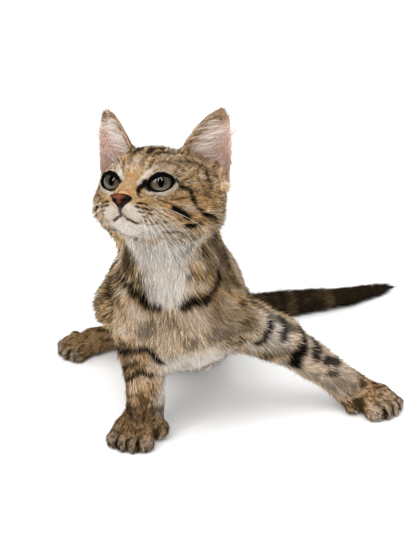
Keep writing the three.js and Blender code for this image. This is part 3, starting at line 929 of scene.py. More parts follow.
LIPS_DARK = [(0.55, 0.85, PHILTRUM), (0.5, 0.8, MOUTH_RIGHT), (0.5, 0.8, MOUTH_LEFT)]
head_dark = on_coat(HEAD_DARK, from_head, (1, -1)) + on_coat(LEFT_DARK + LIPS_DARK, from_head)
head_light = on_coat(HEAD_LIGHT, from_head, (1, -1))
print("dark strokes, with the mirrored ones:", len(head_dark))

# %% [markdown]
# ## The body's own marks
#
# What this kitten alone has, at its own place, is listed: a necklace open under the bib, blotches
# on the neck, and bars across the forelegs. Stripes that only repeat could be listed too, but a
# rule draws them with less work in the next step.

# %% Strokes and fields on the body
BODY_DARK = [  # half-width, strength, path in the body's axes
    # the two halves of the necklace
    (3.2, 1.0, [(-48, -2, 107), (-44, -9, 105), (-41, -13, 102), (-37, -14, 99)]),
    (3.6, 1.0, [(-37, -14, 99), (-33, -15, 97), (-28, -16, 95)]),
    (3.9, 1.0, [(-14, -16, 97), (-11, -16, 98), (-6, -14, 98), (-2, -12, 97), (1, -10, 99)]),
    (3.3, 1.0, [(1, -10, 99), (3, -6, 101), (5, -2, 104), (6, 1, 109)]),
    (2.4, 0.75, [(6, 1, 109), (9, 12, 112), (5, 24, 118)]),
    (1.8, 0.75, [(-48, -2, 107), (-53, 6, 110), (-52, 20, 116)]),
    # neck and shoulder
    (3.6, 0.8, [(-45, -6, 123), (-47, -4, 117), (-46, -5, 112)]),
    (3.0, 0.7, [(-41, -11, 120), (-44, -8, 111)]),
    (1.4, 0.6, [(-38, -15, 108), (-34, -16, 105), (-31, -16, 101)]),
    (2.2, 0.75, [(-12, -18, 113), (-7, -17, 111), (-2, -14, 112), (0, -12, 113)]),
    (1.4, 0.65, [(-15, -17, 124), (-12, -15, 125), (-9, -14, 127)]),
    (1.8, 0.55, [(-3, -13, 121), (1, -7, 122), (3, 0, 123)]),
    (2.0, 0.55, [(2, -9, 107), (4, -6, 113), (4, -4, 118)]),
    (9.0, 0.6, [(3, 4, 126), (7, 13, 117), (11, 14, 108), (15, 16, 99)]),
    (6.0, 0.55, [(1, -5, 121), (3, -5, 113), (6, 0, 106), (10, 7, 100)]),
    (8.0, 0.32, [(5, -8, 89), (13, -1, 83), (22, 8, 77)]),
    (1.6, 0.65, [(4, -9, 85), (9, -6, 82), (13, -2, 83), (16, 2, 84)]),
    (1.5, 0.75, [(2, -10, 79), (7, -8, 76), (11, -3, 72), (17, 2, 71)]),
    (1.5, 0.65, [(17, 2, 71), (23, 6, 72), (27, 9, 73)]),
    (1.2, 0.8, [(6, -6, 70), (10, -3, 68), (13, -1, 69)]),
    (1.4, 0.45, [(-45, -4, 76), (-40, -7, 75), (-35, -11, 75)]),
    # outstretched foreleg
    (2.7, 1.0, [(35, 19, 72), (36, 18, 69), (34, 13, 65), (30, 11, 61), (28, 12, 58)]),
    (3.0, 0.95, [(42, 25, 70), (45, 23, 66), (44, 19, 62), (42, 17, 59)]),
    (3.6, 1.0, [(54, 33, 58), (55, 28, 54), (53, 24, 50)]),
    (4.8, 1.0, [(53, 24, 50), (50, 22, 46), (49, 24, 40)]),
    (3.2, 0.95, [(61, 31, 47), (62, 30, 43)]),
    (3.0, 1.0, [(51, 22, 45), (50, 23, 43), (49, 26, 37)]),
    (3.2, 0.92, [(62, 37, 49), (64, 35, 46)]),
    (3.2, 0.92, [(68, 33, 38), (73, 38, 36), (76, 39, 34)]),
    (2.4, 0.85, [(71, 32, 29), (75, 34, 30)]),
    (1.5, 0.63, [(62, 30, 28), (65, 30, 28)]),
    (1.5, 0.53, [(71, 34, 20), (74, 37, 15)]),
    (2.2, 0.9, [(86, 36, 10), (90, 33, 6)]),  # behind the first toe
    (1.1, 1.0, [(-83, 106, 12), (-84.5, 104.5, 8.5), (-86.5, 102.5, 4), (-87, 101.5, 1)]),
    # upright foreleg
    (2.4, 1.0, [(-56, 20, 54), (-50, 11, 54), (-45, 6, 57), (-39, 0, 60), (-34, -4, 62)]),
    (3.3, 1.0, [(-34, -4, 62), (-31, -3, 58), (-29, -1, 54)]),
    (1.7, 0.95, [(-54, 22, 42), (-49, 13, 43), (-44, 8, 47), (-41, 6, 50)]),
    (2.0, 0.95, [(-53, 24, 33), (-49, 15, 34), (-45, 8, 40), (-39, 6, 42), (-34, 6, 41)]),
    (1.0, 0.8, [(-50, 12, 28), (-46, 8, 28), (-42, 5, 31), (-38, 4, 28), (-32, 5, 27)]),
    (1.0, 0.8, [(-49, 10, 20), (-45, 6, 21), (-42, 4, 23), (-38, 4, 22), (-33, 4, 21)]),
    (1.0, 0.75, [(-47, 8, 14), (-43, 4, 14), (-39, 3, 15), (-35, 3, 15)]),
]
BODY_PALE = [
    (0.95, 7.0, (-23, -17, 110), (11, 12, 16)),  # bib
    (1.0, 6.0, (-27, -17, 129), (21, 14, 13)),  # throat
    (0.3, 14.0, (-16, -10, 76), (34, 18, 12)),
    (0.92, 12.0, (-8, 8, 50), (20, 22, 18)),  # between the forelegs
    (0.95, 8.0, (-14, 70, 24), (34, 70, 20)),  # belly
    (0.5, 8.0, (64, 36, 34), (34, 20, 24)),
    (0.75, 8.0, (41, 18, 64), (14, 8, 12)),
    (0.1, 8.0, (-41, 8, 50), (14, 16, 14)),
    (0.6, 6.0, (22, 22, 58), (24, 10, 7)),  # inner side of the outstretched leg
]
BODY_WARM = [
    (0.45, 14.0, (-18, -8, 88), (38, 22, 14)),
    (0.5, 4.0, (-6, -16, 111), (8, 8, 5)),
    (0.6, 8.0, (84, 44, 16), (20, 16, 14)),
    (0.6, 10.0, (60, 34, 40), (30, 20, 18)),
    (0.6, 10.0, (-40, 8, 28), (16, 16, 36)),
    (0.6, 8.0, (-72, 120, 8), (26, 20, 12)),
]
body_dark = on_coat(BODY_DARK)
print("on the body:", len(body_dark), "strokes and", len(BODY_PALE) + len(BODY_WARM), "fields")

# %% [markdown]
# ## Stripes by rule
#
# A mackerel tabby has a dark line along its spine, narrow broken stripes down its flanks, rings on
# the tail and bars on the legs. Each is a wave along one coordinate, cut to its part of the body.
# Smooth waves bend and break it, because even bands would make a toy tiger.

# %% Flanks, spine, tail and legs
STRIPE_EVERY = 17.0  # from one flank stripe to the next
SPINE_AT = -17  # where the middle of the back is, from the body's own middle
RING_EVERY = 1 / 2.4  # to a length of the tail
BAR_EVERY = 12  # on the back of the legs


def wander(p, scale):
    """A smooth value, mostly between -1 and 1, that changes over some millimetres."""
    a, b, c = (p / scale).T
    waves = np.sin(a + 1.7 * np.sin(b + 0.5)) + np.sin(1.3 * b + 1.9 * np.sin(c))
    return (waves + np.sin(0.9 * c + 1.3 * np.sin(a))) / 2


def bands(place, warp, sharp=0.25):
    """Soft-edged bands of period 1 along a coordinate."""
    wave = np.cos(2 * np.pi * (place + warp))
    return ramp(wave, sharp, sharp + 0.5)


def trunk_stripes(p, part, warp):
    """Flank stripes that lean back as they go down, the line on the spine, and the shoulders."""
    uneven, along = wander(p, 12), p[:, 1]
    flank = bands((along + 0.25 * p[:, 2]) / STRIPE_EVERY, warp + 0.10 * uneven, 0.25 + 0.3 * wander(p, 8))
    flank *= 1 - 0.65 * ramp(wander(p + 40, 9), 0.3, 0.8)
    flank *= ramp(p[:, 2], 22, 40) * is_part(part, "belly", "rump", "thigh")
    half = 1.5 + 3.0 * ramp(along, 24, 70) + 0.8 * uneven
    spine = 1 - ramp((np.abs(p[:, 0] - SPINE_AT + 1.5 * uneven) - half) / 4, 0, 1)
    spine *= ramp(along, 20, 44) * ramp(p[:, 2], 42, 60) * is_part(part, "neck", "chest", "belly", "rump")
    shoulder = bands((along + 0.5 * p[:, 2]) / STRIPE_EVERY, warp + 0.4)
    shoulder *= ramp(along, 10, 24) * is_part(part, "neck", "chest", "upper")
    return np.max([0.55 * flank, 0.90 * spine, 0.72 * shoulder], axis=0)


def tail_rings(p, part, grain):
    """Narrow rings on a dusky tail, whose tip is dark all round."""
    lengths = [along_bone(p, a, b) for a, b in zip(TAIL[:-1], TAIL[1:])]
    tail_at = np.min([k + t + 9 * (away > 14) for k, (t, away) in enumerate(lengths)], axis=0)
    rings = 0.87 + 0.13 * bands(tail_at / RING_EVERY, 0.05 * grain, 0.0)
    return 0.96 * np.maximum(rings, ramp(tail_at, 3.2, 3.9)) * is_part(part, "tail")


def leg_bars(p, part, warp):
    """Bars on the back of the legs and faint ones over the hind feet."""
    rear = np.zeros(len(p))  # how far a point lies behind its limb's bone
    for name, (start, end) in LIMB_LIE.items():
        limb = is_part(part, name)
        t, _ = along_bone(p[limb], start, end)
        rear[limb] = p[limb, 1] - start[1] - t * (end[1] - start[1])
    legs = bands(p[:, 2] / BAR_EVERY, warp) * ramp(rear, 1, 6) * is_part(part, "upper", "lower")
    feet = bands((p[:, 0] + p[:, 1]) / 13, warp) * is_part(part, "foot")
    return np.maximum(0.8 * legs, 0.4 * feet)


striped = trunk_stripes(seen, part, 0) > 0.3
print("stripes on", striped.mean().round(3), "of the skin's points")

# %% [markdown]
# ## Between the toes
#
# Where two toes meet, the crease between them lies in shade, and the toes' tips catch the light.
# Both are painted: a dark line of painted shade in each crease, and a paler painted highlight on
# the tips. Strokes would be needed for each of four feet. In a foot's own axes one rule does: each
# line lies half-way between two toes and fans out with them.

# %% Painted shade between the toes and painted highlights on their tips
def toe_shade_and_highlights(p, part):
    """Painted shade in the creases between the toes, and painted highlights on the toes' tips."""
    gap_shade, bright = np.zeros(len(p)), np.zeros(len(p))
    for name, at, turned, radius, spread, reach, first in FEET:
        own = np.flatnonzero(is_part(part, name) & (p[:, 2] < 16))
        f = to_foot(p[own], at, turned)
        ahead = -f[:, 1] / reach
        fan = spread * (0.85 + 0.2 * np.clip(ahead, 0, 1.2))
        aside = [np.abs(f[:, 0] - k * fan) for k in (-1, 0, 1)]
        starts = [ramp(ahead, 0.3, 0.55), ramp(ahead, 0.55, 0.8), ramp(ahead, 0.3, 0.55)]
        low = 1 - ramp(f[:, 2], 1.35 * radius, 1.85 * radius)
        shade_lines = [start * (1 - ramp(a, 0.6, 1.6)) for a, start in zip(aside, starts)]
        dark = low * np.max(shade_lines, axis=0)
        if first:
            # painted shade in the crease beside the first toe
            inner = (1 - ramp(np.abs(first * f[:, 0] - 12.0), 0.9, 2.2)) * (1 - ramp(f[:, 2], 9, 13))
            dark = np.maximum(dark, 0.9 * inner * (1 - ramp(np.abs(f[:, 1] + 0.5), 3.0, 5.0)))
        gap_shade[own] = np.maximum(gap_shade[own], dark)
        # painted highlight: paler hair on the toes' tips
        toe_highlight = low * ramp(ahead, 0.6, 0.9) * ramp(np.min(aside, axis=0), 1.1, 1.7)
        bright[own] = np.maximum(bright[own], (0.30 if first else 0.45) * toe_highlight)
    return gap_shade, bright


print("between the toes:", (toe_shade_and_highlights(seen, part)[0] > 0.5).sum(), "points")

# %% [markdown]
# ## One function for every marking
#
# Skin and coat ask one function for their markings, at any point of the cat, and for the shade and
# highlights painted with them. It takes the strongest dark mark, pale field and warm field, since a
# mean would grey a stripe where it crosses a field. Round the eyes come the cream and black rims.

# %% All the markings together
PAW_DARK, SHADED_FOOT = 0.12, 0.26  # the ground on all feet, and more on those away from the light


def tabby(p, part, grain):
    """Dark, warm and pale, each 0 to 1, for skin points or tuft roots; painted shade and highlights included.
    """
    q = to_head(p)
    head, ear = is_part(part, "head", "nose", "eye"), is_part(part, "ear")
    warp = 0.10 * np.sin(p[:, 2] / 9) + 0.08 * np.sin(p[:, 0] / 7 + 2) + 0.05 * grain
    gap_shade, tip_highlights = toe_shade_and_highlights(p, part)
    ruled = [trunk_stripes(p, part, warp), tail_rings(p, part, grain), leg_bars(p, part, warp)]
    dark = np.max([*ruled, gap_shade, painted(p, body_dark) * ~head], axis=0)
    warm, pale = washed(p, BODY_WARM), np.maximum(washed(p, BODY_PALE), tip_highlights)
    dark[head] = painted(p[head], head_dark)
    m = both_sides(q[head])
    warm[head] = np.maximum(washed(m, HEAD_WARM), washed(q[head], BRIDGE_WARM))
    pale[head] = np.maximum(washed(m, HEAD_PALE), painted(p[head], head_light))
    for eye in eyes:
        near = head & (np.linalg.norm(q - eye.at, axis=1) < EYE_R + 7)
        dark = np.maximum(dark, near * (1 - ramp(eye.opening(q, BLACK_RIM[eye.side]), -0.06, 0.05)))
        pale = np.maximum(pale, 0.7 * near * (1 - ramp(eye.opening(q, CREAM_RIM), -0.06, 0.08)))
    warm[ear] = 0.5
    # the ear's hair is darker near its tip, and painted shade darkens it towards its base
    dark[ear] = 0.24 + 0.2 * ramp(q[ear, 2], 34, 44) + 0.25 * (1 - ramp(q[ear, 2], 12, 28))
    pale *= 1 - is_part(part, "tail")
    ground = PAW_DARK * is_part(part, "paw", "foot")
    # painted shade: the feet away from the light are darker still
    ground = ground + SHADED_FOOT * is_part(part, "foreleg_right_paw", "foot")
    return np.stack([np.maximum(dark, ground), warm, pale], 1)


marks_and_shade = tabby(seen, part, grain)
print("dark on", (marks_and_shade[:, 0] > 0.5).mean().round(3), "of the skin's points")

# %% [markdown]
# ## Where the skin is bare
#
# Hair leaves three places open: the hollow of the ear, the edge of the lids and the line of the
# lips. They could be pieces of their own, with a seam each. Here a fourth number says how bare the
# skin is, and its material turns pink or black by it.

# %% Ears, lids and lips
EAR_INWARD = np.array([0.25, -1, -0.1])  # where the cup of the left ear opens
normals_on_head = normals @ HEAD_TURN
faces_in = (normals_on_head * (np.sign(q[:, :1]) * (1, 0, 0) + (0, 1, 1)) * EAR_INWARD).sum(1)
ear_inside = even_out((ear & (faces_in > 0.1)).astype(float), edges, 2)
bare = np.clip(1.2 * ear_inside, 0, 1)
# painted shade in the ear's hollow: little dark high up, more deep in the ear
marks_and_shade[:, 0] *= 1 - 0.8 * ear_inside * ramp(q[:, 2], 18, 30)
hollow = 0.22 * ear_inside * (1 - ramp(q[:, 2], 14, 32))  # it is darker deep in the ear
marks_and_shade[:, 0] = np.maximum(marks_and_shade[:, 0], hollow)
for eye in eyes:
    near = np.linalg.norm(q - eye.at, axis=1) < EYE_R + 4
    bare = np.maximum(bare, near * (1 - ramp(eye.opening(q), 0.1, 0.25)))
from_lips, from_groove = mouth_distance(q), path_distance(q, PHILTRUM)
bare = np.maximum(bare, on_face * (1 - 0.45 * ramp(from_lips, 0.8, 1.6) - 0.55 * ramp(from_lips, 2.5, 6)))
line = on_face * (1 - ramp(np.minimum(from_lips, from_groove), 0.75, 1.6))
marks_and_shade[:, 0] = np.maximum(marks_and_shade[:, 0], 0.9 * line)
print("bare:", (bare > 0.5).mean().round(3), "of the skin's points")

# %% [markdown]
# ## One tuft, many times
#
# A tuft is a few hairs stuck together: a point in the skin, widest a little way up, and a point
# again. Hair curves would be easier, but every program can show a solid mesh. A spindle with one
# ring of three corners has six faces, and all those of a piece are worked out together as arrays,
# in a second instead of hours.

# %% The shape of a tuft
FLAT = 0.6  # a tuft's thickness to its width
WIDEST = 0.42  # where along it a tuft is widest


def shade_smooth(mesh):
    mesh.polygons.foreach_set("use_smooth", np.ones(len(mesh.polygons), bool))


def spindles(name, roots, first, last, across, lengths, widths, rings=1):
    """A mesh of bent spindles, with each corner's place along its tuft and its tuft's number."""
    n = len(roots)
    stations, girth = np.array([WIDEST]), np.array([1.0])
    if rings > 1:
        stations = (np.arange(rings) + 0.6) / (rings + 0.6)
        girth = (1 - stations) ** 0.6 * np.minimum(1, 0.5 + stations * 2)
    s = np.concatenate([[0], stations, [1]])[None, :, None]
    middle = roots[:, None] + lengths[:, None, None] * (
        (s - s * s / 2) * first[:, None] + s * s / 2 * last[:, None]
    )
    rise = np.cross(across, unit(first + last))
    angles = np.radians([90, 210, 330])
    ring = (
        across[:, None, None] * np.cos(angles)[None, None, :, None]
        + FLAT * rise[:, None, None] * np.sin(angles)[None, None, :, None]
    ) * (girth[None, :, None, None] * widths[:, None, None, None] / 2)
    corners = middle[:, 1:-1, None] + ring
    verts = np.concatenate([middle[:, :1], corners.reshape(n, -1, 3), middle[:, -1:]], 1)
    count = 2 + 3 * rings
    faces = [(0, 1 + (j + 1) % 3, 1 + j) for j in range(3)]
    for k in range(rings - 1):
        low, high = 1 + 3 * k, 4 + 3 * k
        for j in range(3):
            i = (j + 1) % 3
            faces += [(low + j, low + i, high + i), (low + j, high + i, high + j)]
    faces += [(count - 4 + j, count - 4 + (j + 1) % 3, count - 1) for j in range(3)]
    faces = (np.array(faces)[None] + count * np.arange(n)[:, None, None]).reshape(-1, 3)
    verts = verts.reshape(-1, 3)
    verts[:, 2] = np.maximum(verts[:, 2], 0.1)  # nothing grows into the floor
    made = bpy.data.meshes.new(name)
    made.from_pydata((verts + SHIFT) * MM, [], faces)
    shade_smooth(made)
    height = np.concatenate([[0], np.repeat(stations, 3), [1]])
    return made, np.tile(height, n), np.repeat(np.arange(n), count)


def add_number(mesh, name, values):
    mesh.attributes.new(name, "FLOAT", "POINT").data.foreach_set("value", values.astype(np.float32))


def add_colour(mesh, name, rgb):
    """Markings and their painted shade: three plain numbers, kept as a colour so one node reads all of them.
    """
    full = np.concatenate([rgb, np.ones((len(rgb), 1))], 1).astype(np.float32)
    mesh.color_attributes.new(name, "FLOAT_COLOR", "POINT").data.foreach_set("color", full.ravel())


print("a tuft has", 2 + 3, "corners and", 3 + 3, "faces")

# %% [markdown]
# ## Where each tuft keeps its colour
#
# An exported model gets its colours as pictures, and a tuft is far too small for a picture of its
# own. So every tuft takes a spot three thousandths wide at the place of its root on an unwrap of
# the skin below, and neighbours are neighbours in the picture too.

# %% Unwrap the skin under a piece of coat
SPOT = 0.003
triangles = read_rows(mesh.polygons, "vertices", 3, np.int32)


def unwrapped(chosen):
    """The corners' places on a flat map of these faces of the skin."""
    used, local = np.unique(triangles[chosen], return_inverse=True)
    patch = bpy.data.meshes.new("patch")
    patch.from_pydata(points[used] * MM, [], local.reshape(-1, 3))
    sheet = new_object("patch", patch)
    bpy.context.view_layer.objects.active = sheet
    sheet.select_set(True)
    bpy.ops.object.mode_set(mode="EDIT")
    bpy.ops.mesh.select_all(action="SELECT")
    bpy.ops.uv.smart_project(angle_limit=math.radians(72), island_margin=0.006)
    bpy.ops.object.mode_set(mode="OBJECT")
    flat = read_rows(patch.uv_layers.active.uv, "vector", 2)
    bpy.data.objects.remove(sheet)
    bpy.data.meshes.remove(patch)
    return flat.reshape(-1, 3, 2)


def keep_spot(mesh, at, height, tuft):
    """The UV map OFBake: every corner of a tuft within its spot."""
    corner = np.arange(len(tuft)) % 3 - 1
    uv = at[tuft] + SPOT * np.stack([corner * 0.45, height - 0.5], 1)
    loops = read_rows(mesh.loops, "vertex_index", 1, np.int32)[:, 0]
    layer = mesh.uv_layers.new(name="OFBake")
    layer.uv.foreach_set("vector", uv[loops].astype(np.float32).ravel())


print("faces to unwrap:", len(triangles))

# %% [markdown]
# ## Where hair grows
#
# Hair is dense on the muzzle and thin on the lips. None grows on the lids' edges, the nose leather
# and the soles, little in the hollow of an ear, and next to the eye it is short. Weights painted
# by hand would do, and distances known from the face's form do it exactly.

# %% Crowding, and short hair at the lids
EAR_EDGE = [(13.2, -2, 20), (20.5, -5, 36), (33, -0.5, 44)]  # front edge, left ear, head axes
beyond_lid = [np.where(np.linalg.norm(q - eye.at, axis=1) < EYE_R + 5, eye.opening(q), 9) for eye in eyes]
lid_clear = np.min(beyond_lid, axis=0)
leather = mass(q, NOSE_AT + (0, 1.5, -0.9), (4.9, 5.5, 4.2))
edge_distance = path_distance(both_sides(q), EAR_EDGE)
crowding = ramp(lid_clear, 0.16, 0.24) * ramp(leather, -0.4, 0.6)
crowding *= np.where(on_face, ramp(from_lips, 0.5, 1.0) * (0.4 + 0.6 * ramp(from_lips, 1.2, 5.5)), 1)
crowding *= np.where(on_face, ramp(from_groove, 0.35, 0.8), 1)
crowding *= np.where(normals[:, 2] < -0.8, ramp(points[:, 2], 0.5, 4), 1)  # the soles
crowding *= 1 - 0.85 * ear_inside * ramp(edge_distance, 7.0, 11.0)
crowding *= 1 + 0.9 * ramp(-q[:, 1], 14, 34)  # denser towards the nose
cut_back = np.where(lid_clear < 3, 0.65 + 0.35 * ramp(lid_clear, 0.2, 0.9), 1.0)
cut_back = even_out(cut_back, edges, 2)
print("no hair on", (crowding < 0.01).mean().round(3), "of the skin's points")

# %% [markdown]
# ## Roots
#
# A cat has thousands of hairs to a square centimetre, and a tuft stands for dozens. Roots on a
# grid show as rows, and roots thrown down at random leave holes. So the faces are lined up by area
# times crowding, the line is cut in equal steps, and each step gets one root.

# %% Spread the roots
def face_mean(values):
    return values[triangles].mean(1)


def spread_roots(ids, count, rng):
    """For each root its face's place in ids, and its weights on the three corners."""
    a, b, c = (points[triangles[ids, k]] for k in range(3))
    area = np.linalg.norm(np.cross(b - a, c - a), axis=1) / 2
    share = np.cumsum(area * np.maximum(face_mean(crowding)[ids], 0))
    picked = np.searchsorted(share, share[-1] * (np.arange(count) + rng.random(count)) / count)
    r = np.sqrt(rng.random(count))
    t = rng.random(count)
    return np.minimum(picked, len(ids) - 1), np.stack([1 - r, r * (1 - t), r * t], 1)


def reader(corners, weights):
    """A function that reads a value of the skin's points at the roots."""
    def at_root(values):
        found = values[corners]
        shape = weights.reshape(weights.shape + (1,) * (found.ndim - 2))
        return (found * shape).sum(1)
    return at_root


print("crowding on the faces, at most:", face_mean(crowding).max().round(2))

# %% [markdown]
# ## How each tuft stands
#
# No two hairs lie quite the same way. Even tufts would look like a brush, so whole locks swerve
# together, single tufts stray a little more, and on the body one tuft in sixteen is a guard hair
# that stands out. What was combed into the skin is varied here.

# %% Direction and size
STRAY = 9.0  # degrees by which single tufts stray
GUARD_HAIRS, GUARD_LIFT = 0.06, 0.9  # the share of tufts that stand out, and how much more


def stance(at_root, count, rng):
    """The skin's up, each tuft's side, and its first and last direction."""
    up, way = unit(at_root(normals)), at_root(lie)
    way = unit(way - up * (way * up).sum(1)[:, None])
    side = np.cross(up, way)
    turned = 11 * at_root(swirl) + 1.3 * at_root(length) * at_root(clump)
    angle = np.radians(turned + STRAY * rng.normal(size=count))[:, None]
    way, side = way * np.cos(angle) + side * np.sin(angle), side * np.cos(angle) - way * np.sin(angle)
    vary = 1 + 0.25 * at_root(fluff) + 0.25 * rng.normal(size=count)
    vary += GUARD_LIFT * (rng.random(count) < GUARD_HAIRS) * (at_root(on_body) > 0.9)
    return up, side, *raised_ways(way, up, at_root(lift) * np.clip(vary, 0.3, 2.2))


def sizes(at_root, count, wide, rng):
    """Each tuft's length and width."""
    tall = np.clip(1 + 0.08 * at_root(shag) + 0.16 * rng.normal(size=count), 0.5, 1.5)
    wide = wide * np.clip(1 + 0.2 * rng.normal(size=count), 0.5, 1.6)
    return at_root(length) * tall * at_root(cut_back), wide


print("guard hairs may stand at up to", (lift.max() * 2.2).round(), "degrees")

# %% [markdown]
# ## Ticking
#
# Between its stripes a tabby is ticked like salt and pepper, because each hair is banded. Bands
# alone are too fine to show from here, so some tufts are dusky and some bright as a whole, most of
# them on the paws. Each tuft asks for its markings twice, because it may end beyond its stripe.

# %% Markings of the tufts
TICKING = (0.85, -0.95)  # flecks above the first are dusky tufts, and below the second bright ones
TICKED_MORE = {"head": 0.15, "paw": 1.3, "lower": 0.6, "neck": 0.4, "chest": 0.3, "upper": 0.4}
ASKED_AT = (0.58, 0.82)  # along the tuft
on_foot = even_out(is_part(part, "paw", "foot").astype(float), edges, 6)
# dusky tufts on the paws, and far more on the right forepaw as painted shade
dusk_and_paw_shade = even_out(by_part(part, {"paw": 0.3, "foot": 0.2, "foreleg_right_paw": 1.1}), edges, 6)
ticked = even_out(1 + by_part(part, TICKED_MORE), edges, 6)
ticked *= 1 - 0.8 * on_face * (1 - ramp(from_nose(q), 10, 20))  # the muzzle is clean


def tuft_marks_and_shade(at_root, roots, first, last, tall, owner, rng):
    """Markings and painted shade at two places along each tuft, and how light the tuft is."""
    count = len(roots)
    ragged = rng.normal(size=roots.shape) * (np.minimum(0.07 * tall, 0.5) * at_root(cut_back) ** 3)[:, None]
    asked = [bend(roots, first, last, tall, s) + ragged for s in ASKED_AT]
    found = [tabby(p, owner, at_root(grain)) for p in asked]
    fleck = (at_root(flecks) + 0.6 * rng.normal(size=count)) * at_root(ticked) + at_root(dusk_and_paw_shade)
    dusky, bright = fleck > TICKING[0], fleck < TICKING[1]
    off_foot = 1 - at_root(on_foot)
    for colours in found:
        held = (1 - 0.8 * off_foot * colours[:, 2]) * (1 - 0.3 * off_foot * colours[:, 1])
        colours[:, 0] = np.maximum(colours[:, 0], 0.9 * dusky * held)
        free = (1 - colours[:, 0]) * (1 - 0.6 * colours[:, 1])
        colours[:, 2] = np.maximum(colours[:, 2], 0.65 * bright * free)
    shade = 0.08 * at_root(tint) + (0.14 + 0.06 * at_root(on_body)) * rng.normal(size=count)
    return *found, np.clip(0.5 + shade * (1 - 0.5 * found[0][:, 2]), 0, 1)


print("ticking on the paws:", ticked.max().round(1), "times the body's")

# %% [markdown]
# ## Plant the coat
#
# A piece of coat is one region of the skin. One piece for the whole cat would be too heavy to
# handle, and ten keep each below two hundred thousand faces. Every tuft is sunk a little into the
# skin, so that no gap shows under it.

# %% Plant one piece
def plant(name, chosen, count, seed, wide):
    """A piece of coat on the chosen faces. Returns its object."""
    rng = np.random.default_rng(seed)
    ids = np.flatnonzero(chosen)
    uv = unwrapped(ids)
    picked, weights = spread_roots(ids, count, rng)
    corners = triangles[ids[picked]]
    at_root = reader(corners, weights)
    roots = at_root(points)
    up, side, first, last = stance(at_root, count, rng)
    tall, wide = sizes(at_root, count, wide, rng)
    sunk = roots - np.minimum(0.04 * tall, 0.3)[:, None] * up
    coat_mesh, height, tuft = spindles(name, sunk, first, last, side, tall, wide)
    ring, tip, light = tuft_marks_and_shade(at_root, roots, first, last, tall, part[corners[:, 0]], rng)
    add_colour(coat_mesh, "marks_and_shade", np.stack([ring, ring, ring, ring, tip], 1).reshape(-1, 3))
    add_number(coat_mesh, "along", height)
    add_number(coat_mesh, "lock", light[tuft])
    keep_spot(coat_mesh, (uv[picked] * weights[:, :, None]).sum(1), height, tuft)
    coat = new_object(name, coat_mesh)
    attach(coat, "root")
    print(name, len(coat_mesh.polygons), "faces")
    return coat


# %% [markdown]
# ## Ten pieces of coat
#
# Ears and face have the finest hair and the belly the broadest locks, so the tufts' width goes by
# the piece, and their number by how near one looks. With a seed of its own, each piece can be made
# again, or changed, without touching the others.

# %% All ten pieces
face_part = part[triangles[:, 0]]
face_q = to_head(points[triangles].mean(1))
head_faces, ear_faces = is_part(face_part, "head", "nose", "eye"), is_part(face_part, "ear")
front = head_faces & (face_q[:, 1] < -12)
PIECES = [
    # name, faces, tufts, width in mm
    ("coat_face", front, 33000, 0.27),
    ("coat_crown", head_faces & ~front, 32000, 0.33),
    ("coat_ears", ear_faces, 15000, 0.24),
    ("coat_neck", is_part(face_part, "neck"), 25000, 0.44),
    ("coat_chest", is_part(face_part, "chest"), 28000, 0.46),
    ("coat_belly", is_part(face_part, "belly"), 16000, 0.56),
    ("coat_hindquarters", is_part(face_part, "rump", "thigh"), 31000, 0.55),
    ("coat_forelegs", is_part(face_part, "upper", "lower"), 31000, 0.40),
    ("coat_feet", is_part(face_part, "paw", "foot"), 24000, 0.33),
    ("coat_tail", is_part(face_part, "tail"), 12000, 0.48),
]
FEWER = 1.0
coats = []
for seed, (name, chosen, count, wide) in enumerate(PIECES):
    coats.append(plant(name, chosen, int(count * FEWER), 100 + seed, wide / FEWER ** 0.5))
print("pieces of coat:", len(coats))

# %% [markdown]
# ## Hair in the ears
#
# Long white hairs stand along the front edge of each ear and sweep up and across its hollow. They
# could be part of the ears' coat, but they are the longest on the head and each shows its own
# curve. So they are spindles with four rings instead of one.

# %% Ear hair
EAR_HAIR_WIDE = 0.17


def ear_hair(seed, count):
    rng = np.random.default_rng(seed)
    ids = np.flatnonzero(face_mean(ear_inside) > 0.6)
    from_edge = face_mean(edge_distance)[ids]
    low = 1 - ramp(face_q[ids, 2], 30, 42)
    weight = (np.exp(-(((from_edge - 10.5) / 5.4) ** 2)) + 0.08) * (0.4 + low)
    picked = rng.choice(len(ids), count, p=weight / weight.sum())
    ids = ids[picked]
    roots = face_mean(points)[ids]
    up = unit(face_mean(normals)[ids])
    outwards = np.sign(to_head(roots)[:, :1]) * (1, 0, 0) + (0, 1, 1)
    aim = np.array([0.85, -0.35, 0.6]) + rng.normal(size=(count, 3)) * (0.2, 0.15, 0.25)
    end = np.array([0.95, 0.25, 0.25]) + rng.normal(size=(count, 3)) * 0.25
    aim, end = (aim * outwards) @ HEAD_TURN.T, (end * outwards) @ HEAD_TURN.T
    first = unit(unit(aim) + 0.35 * up)
    last = unit(unit(end) + 0.15 * up)
    across = unit(np.cross(first, up))
    tall = (4 + 8 * low[picked]) * np.clip(1 + 0.2 * rng.normal(size=count), 0.5, 1.4)
    wide = np.full(count, EAR_HAIR_WIDE)
    made, height, tuft = spindles("ear_hair", roots, first, last, across, tall, wide, 4)
    add_colour(made, "marks_and_shade", np.tile([0.0, 0.0, 0.95], (len(tuft), 1)))
    add_number(made, "along", height * 0.5 + 0.4)
    add_number(made, "lock", np.clip(0.5 + 0.3 * rng.normal(size=count), 0, 1)[tuft])
    corners = unwrapped(np.flatnonzero(ear_faces))
    order = np.searchsorted(np.flatnonzero(ear_faces), ids)
    keep_spot(made, corners[np.minimum(order, len(corners) - 1)].mean(1), height, tuft)
    hair = new_object("ear_hair", made)
    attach(hair, "root")
    print("ear hair:", count)
    return hair


coats.append(ear_hair(31, 900))

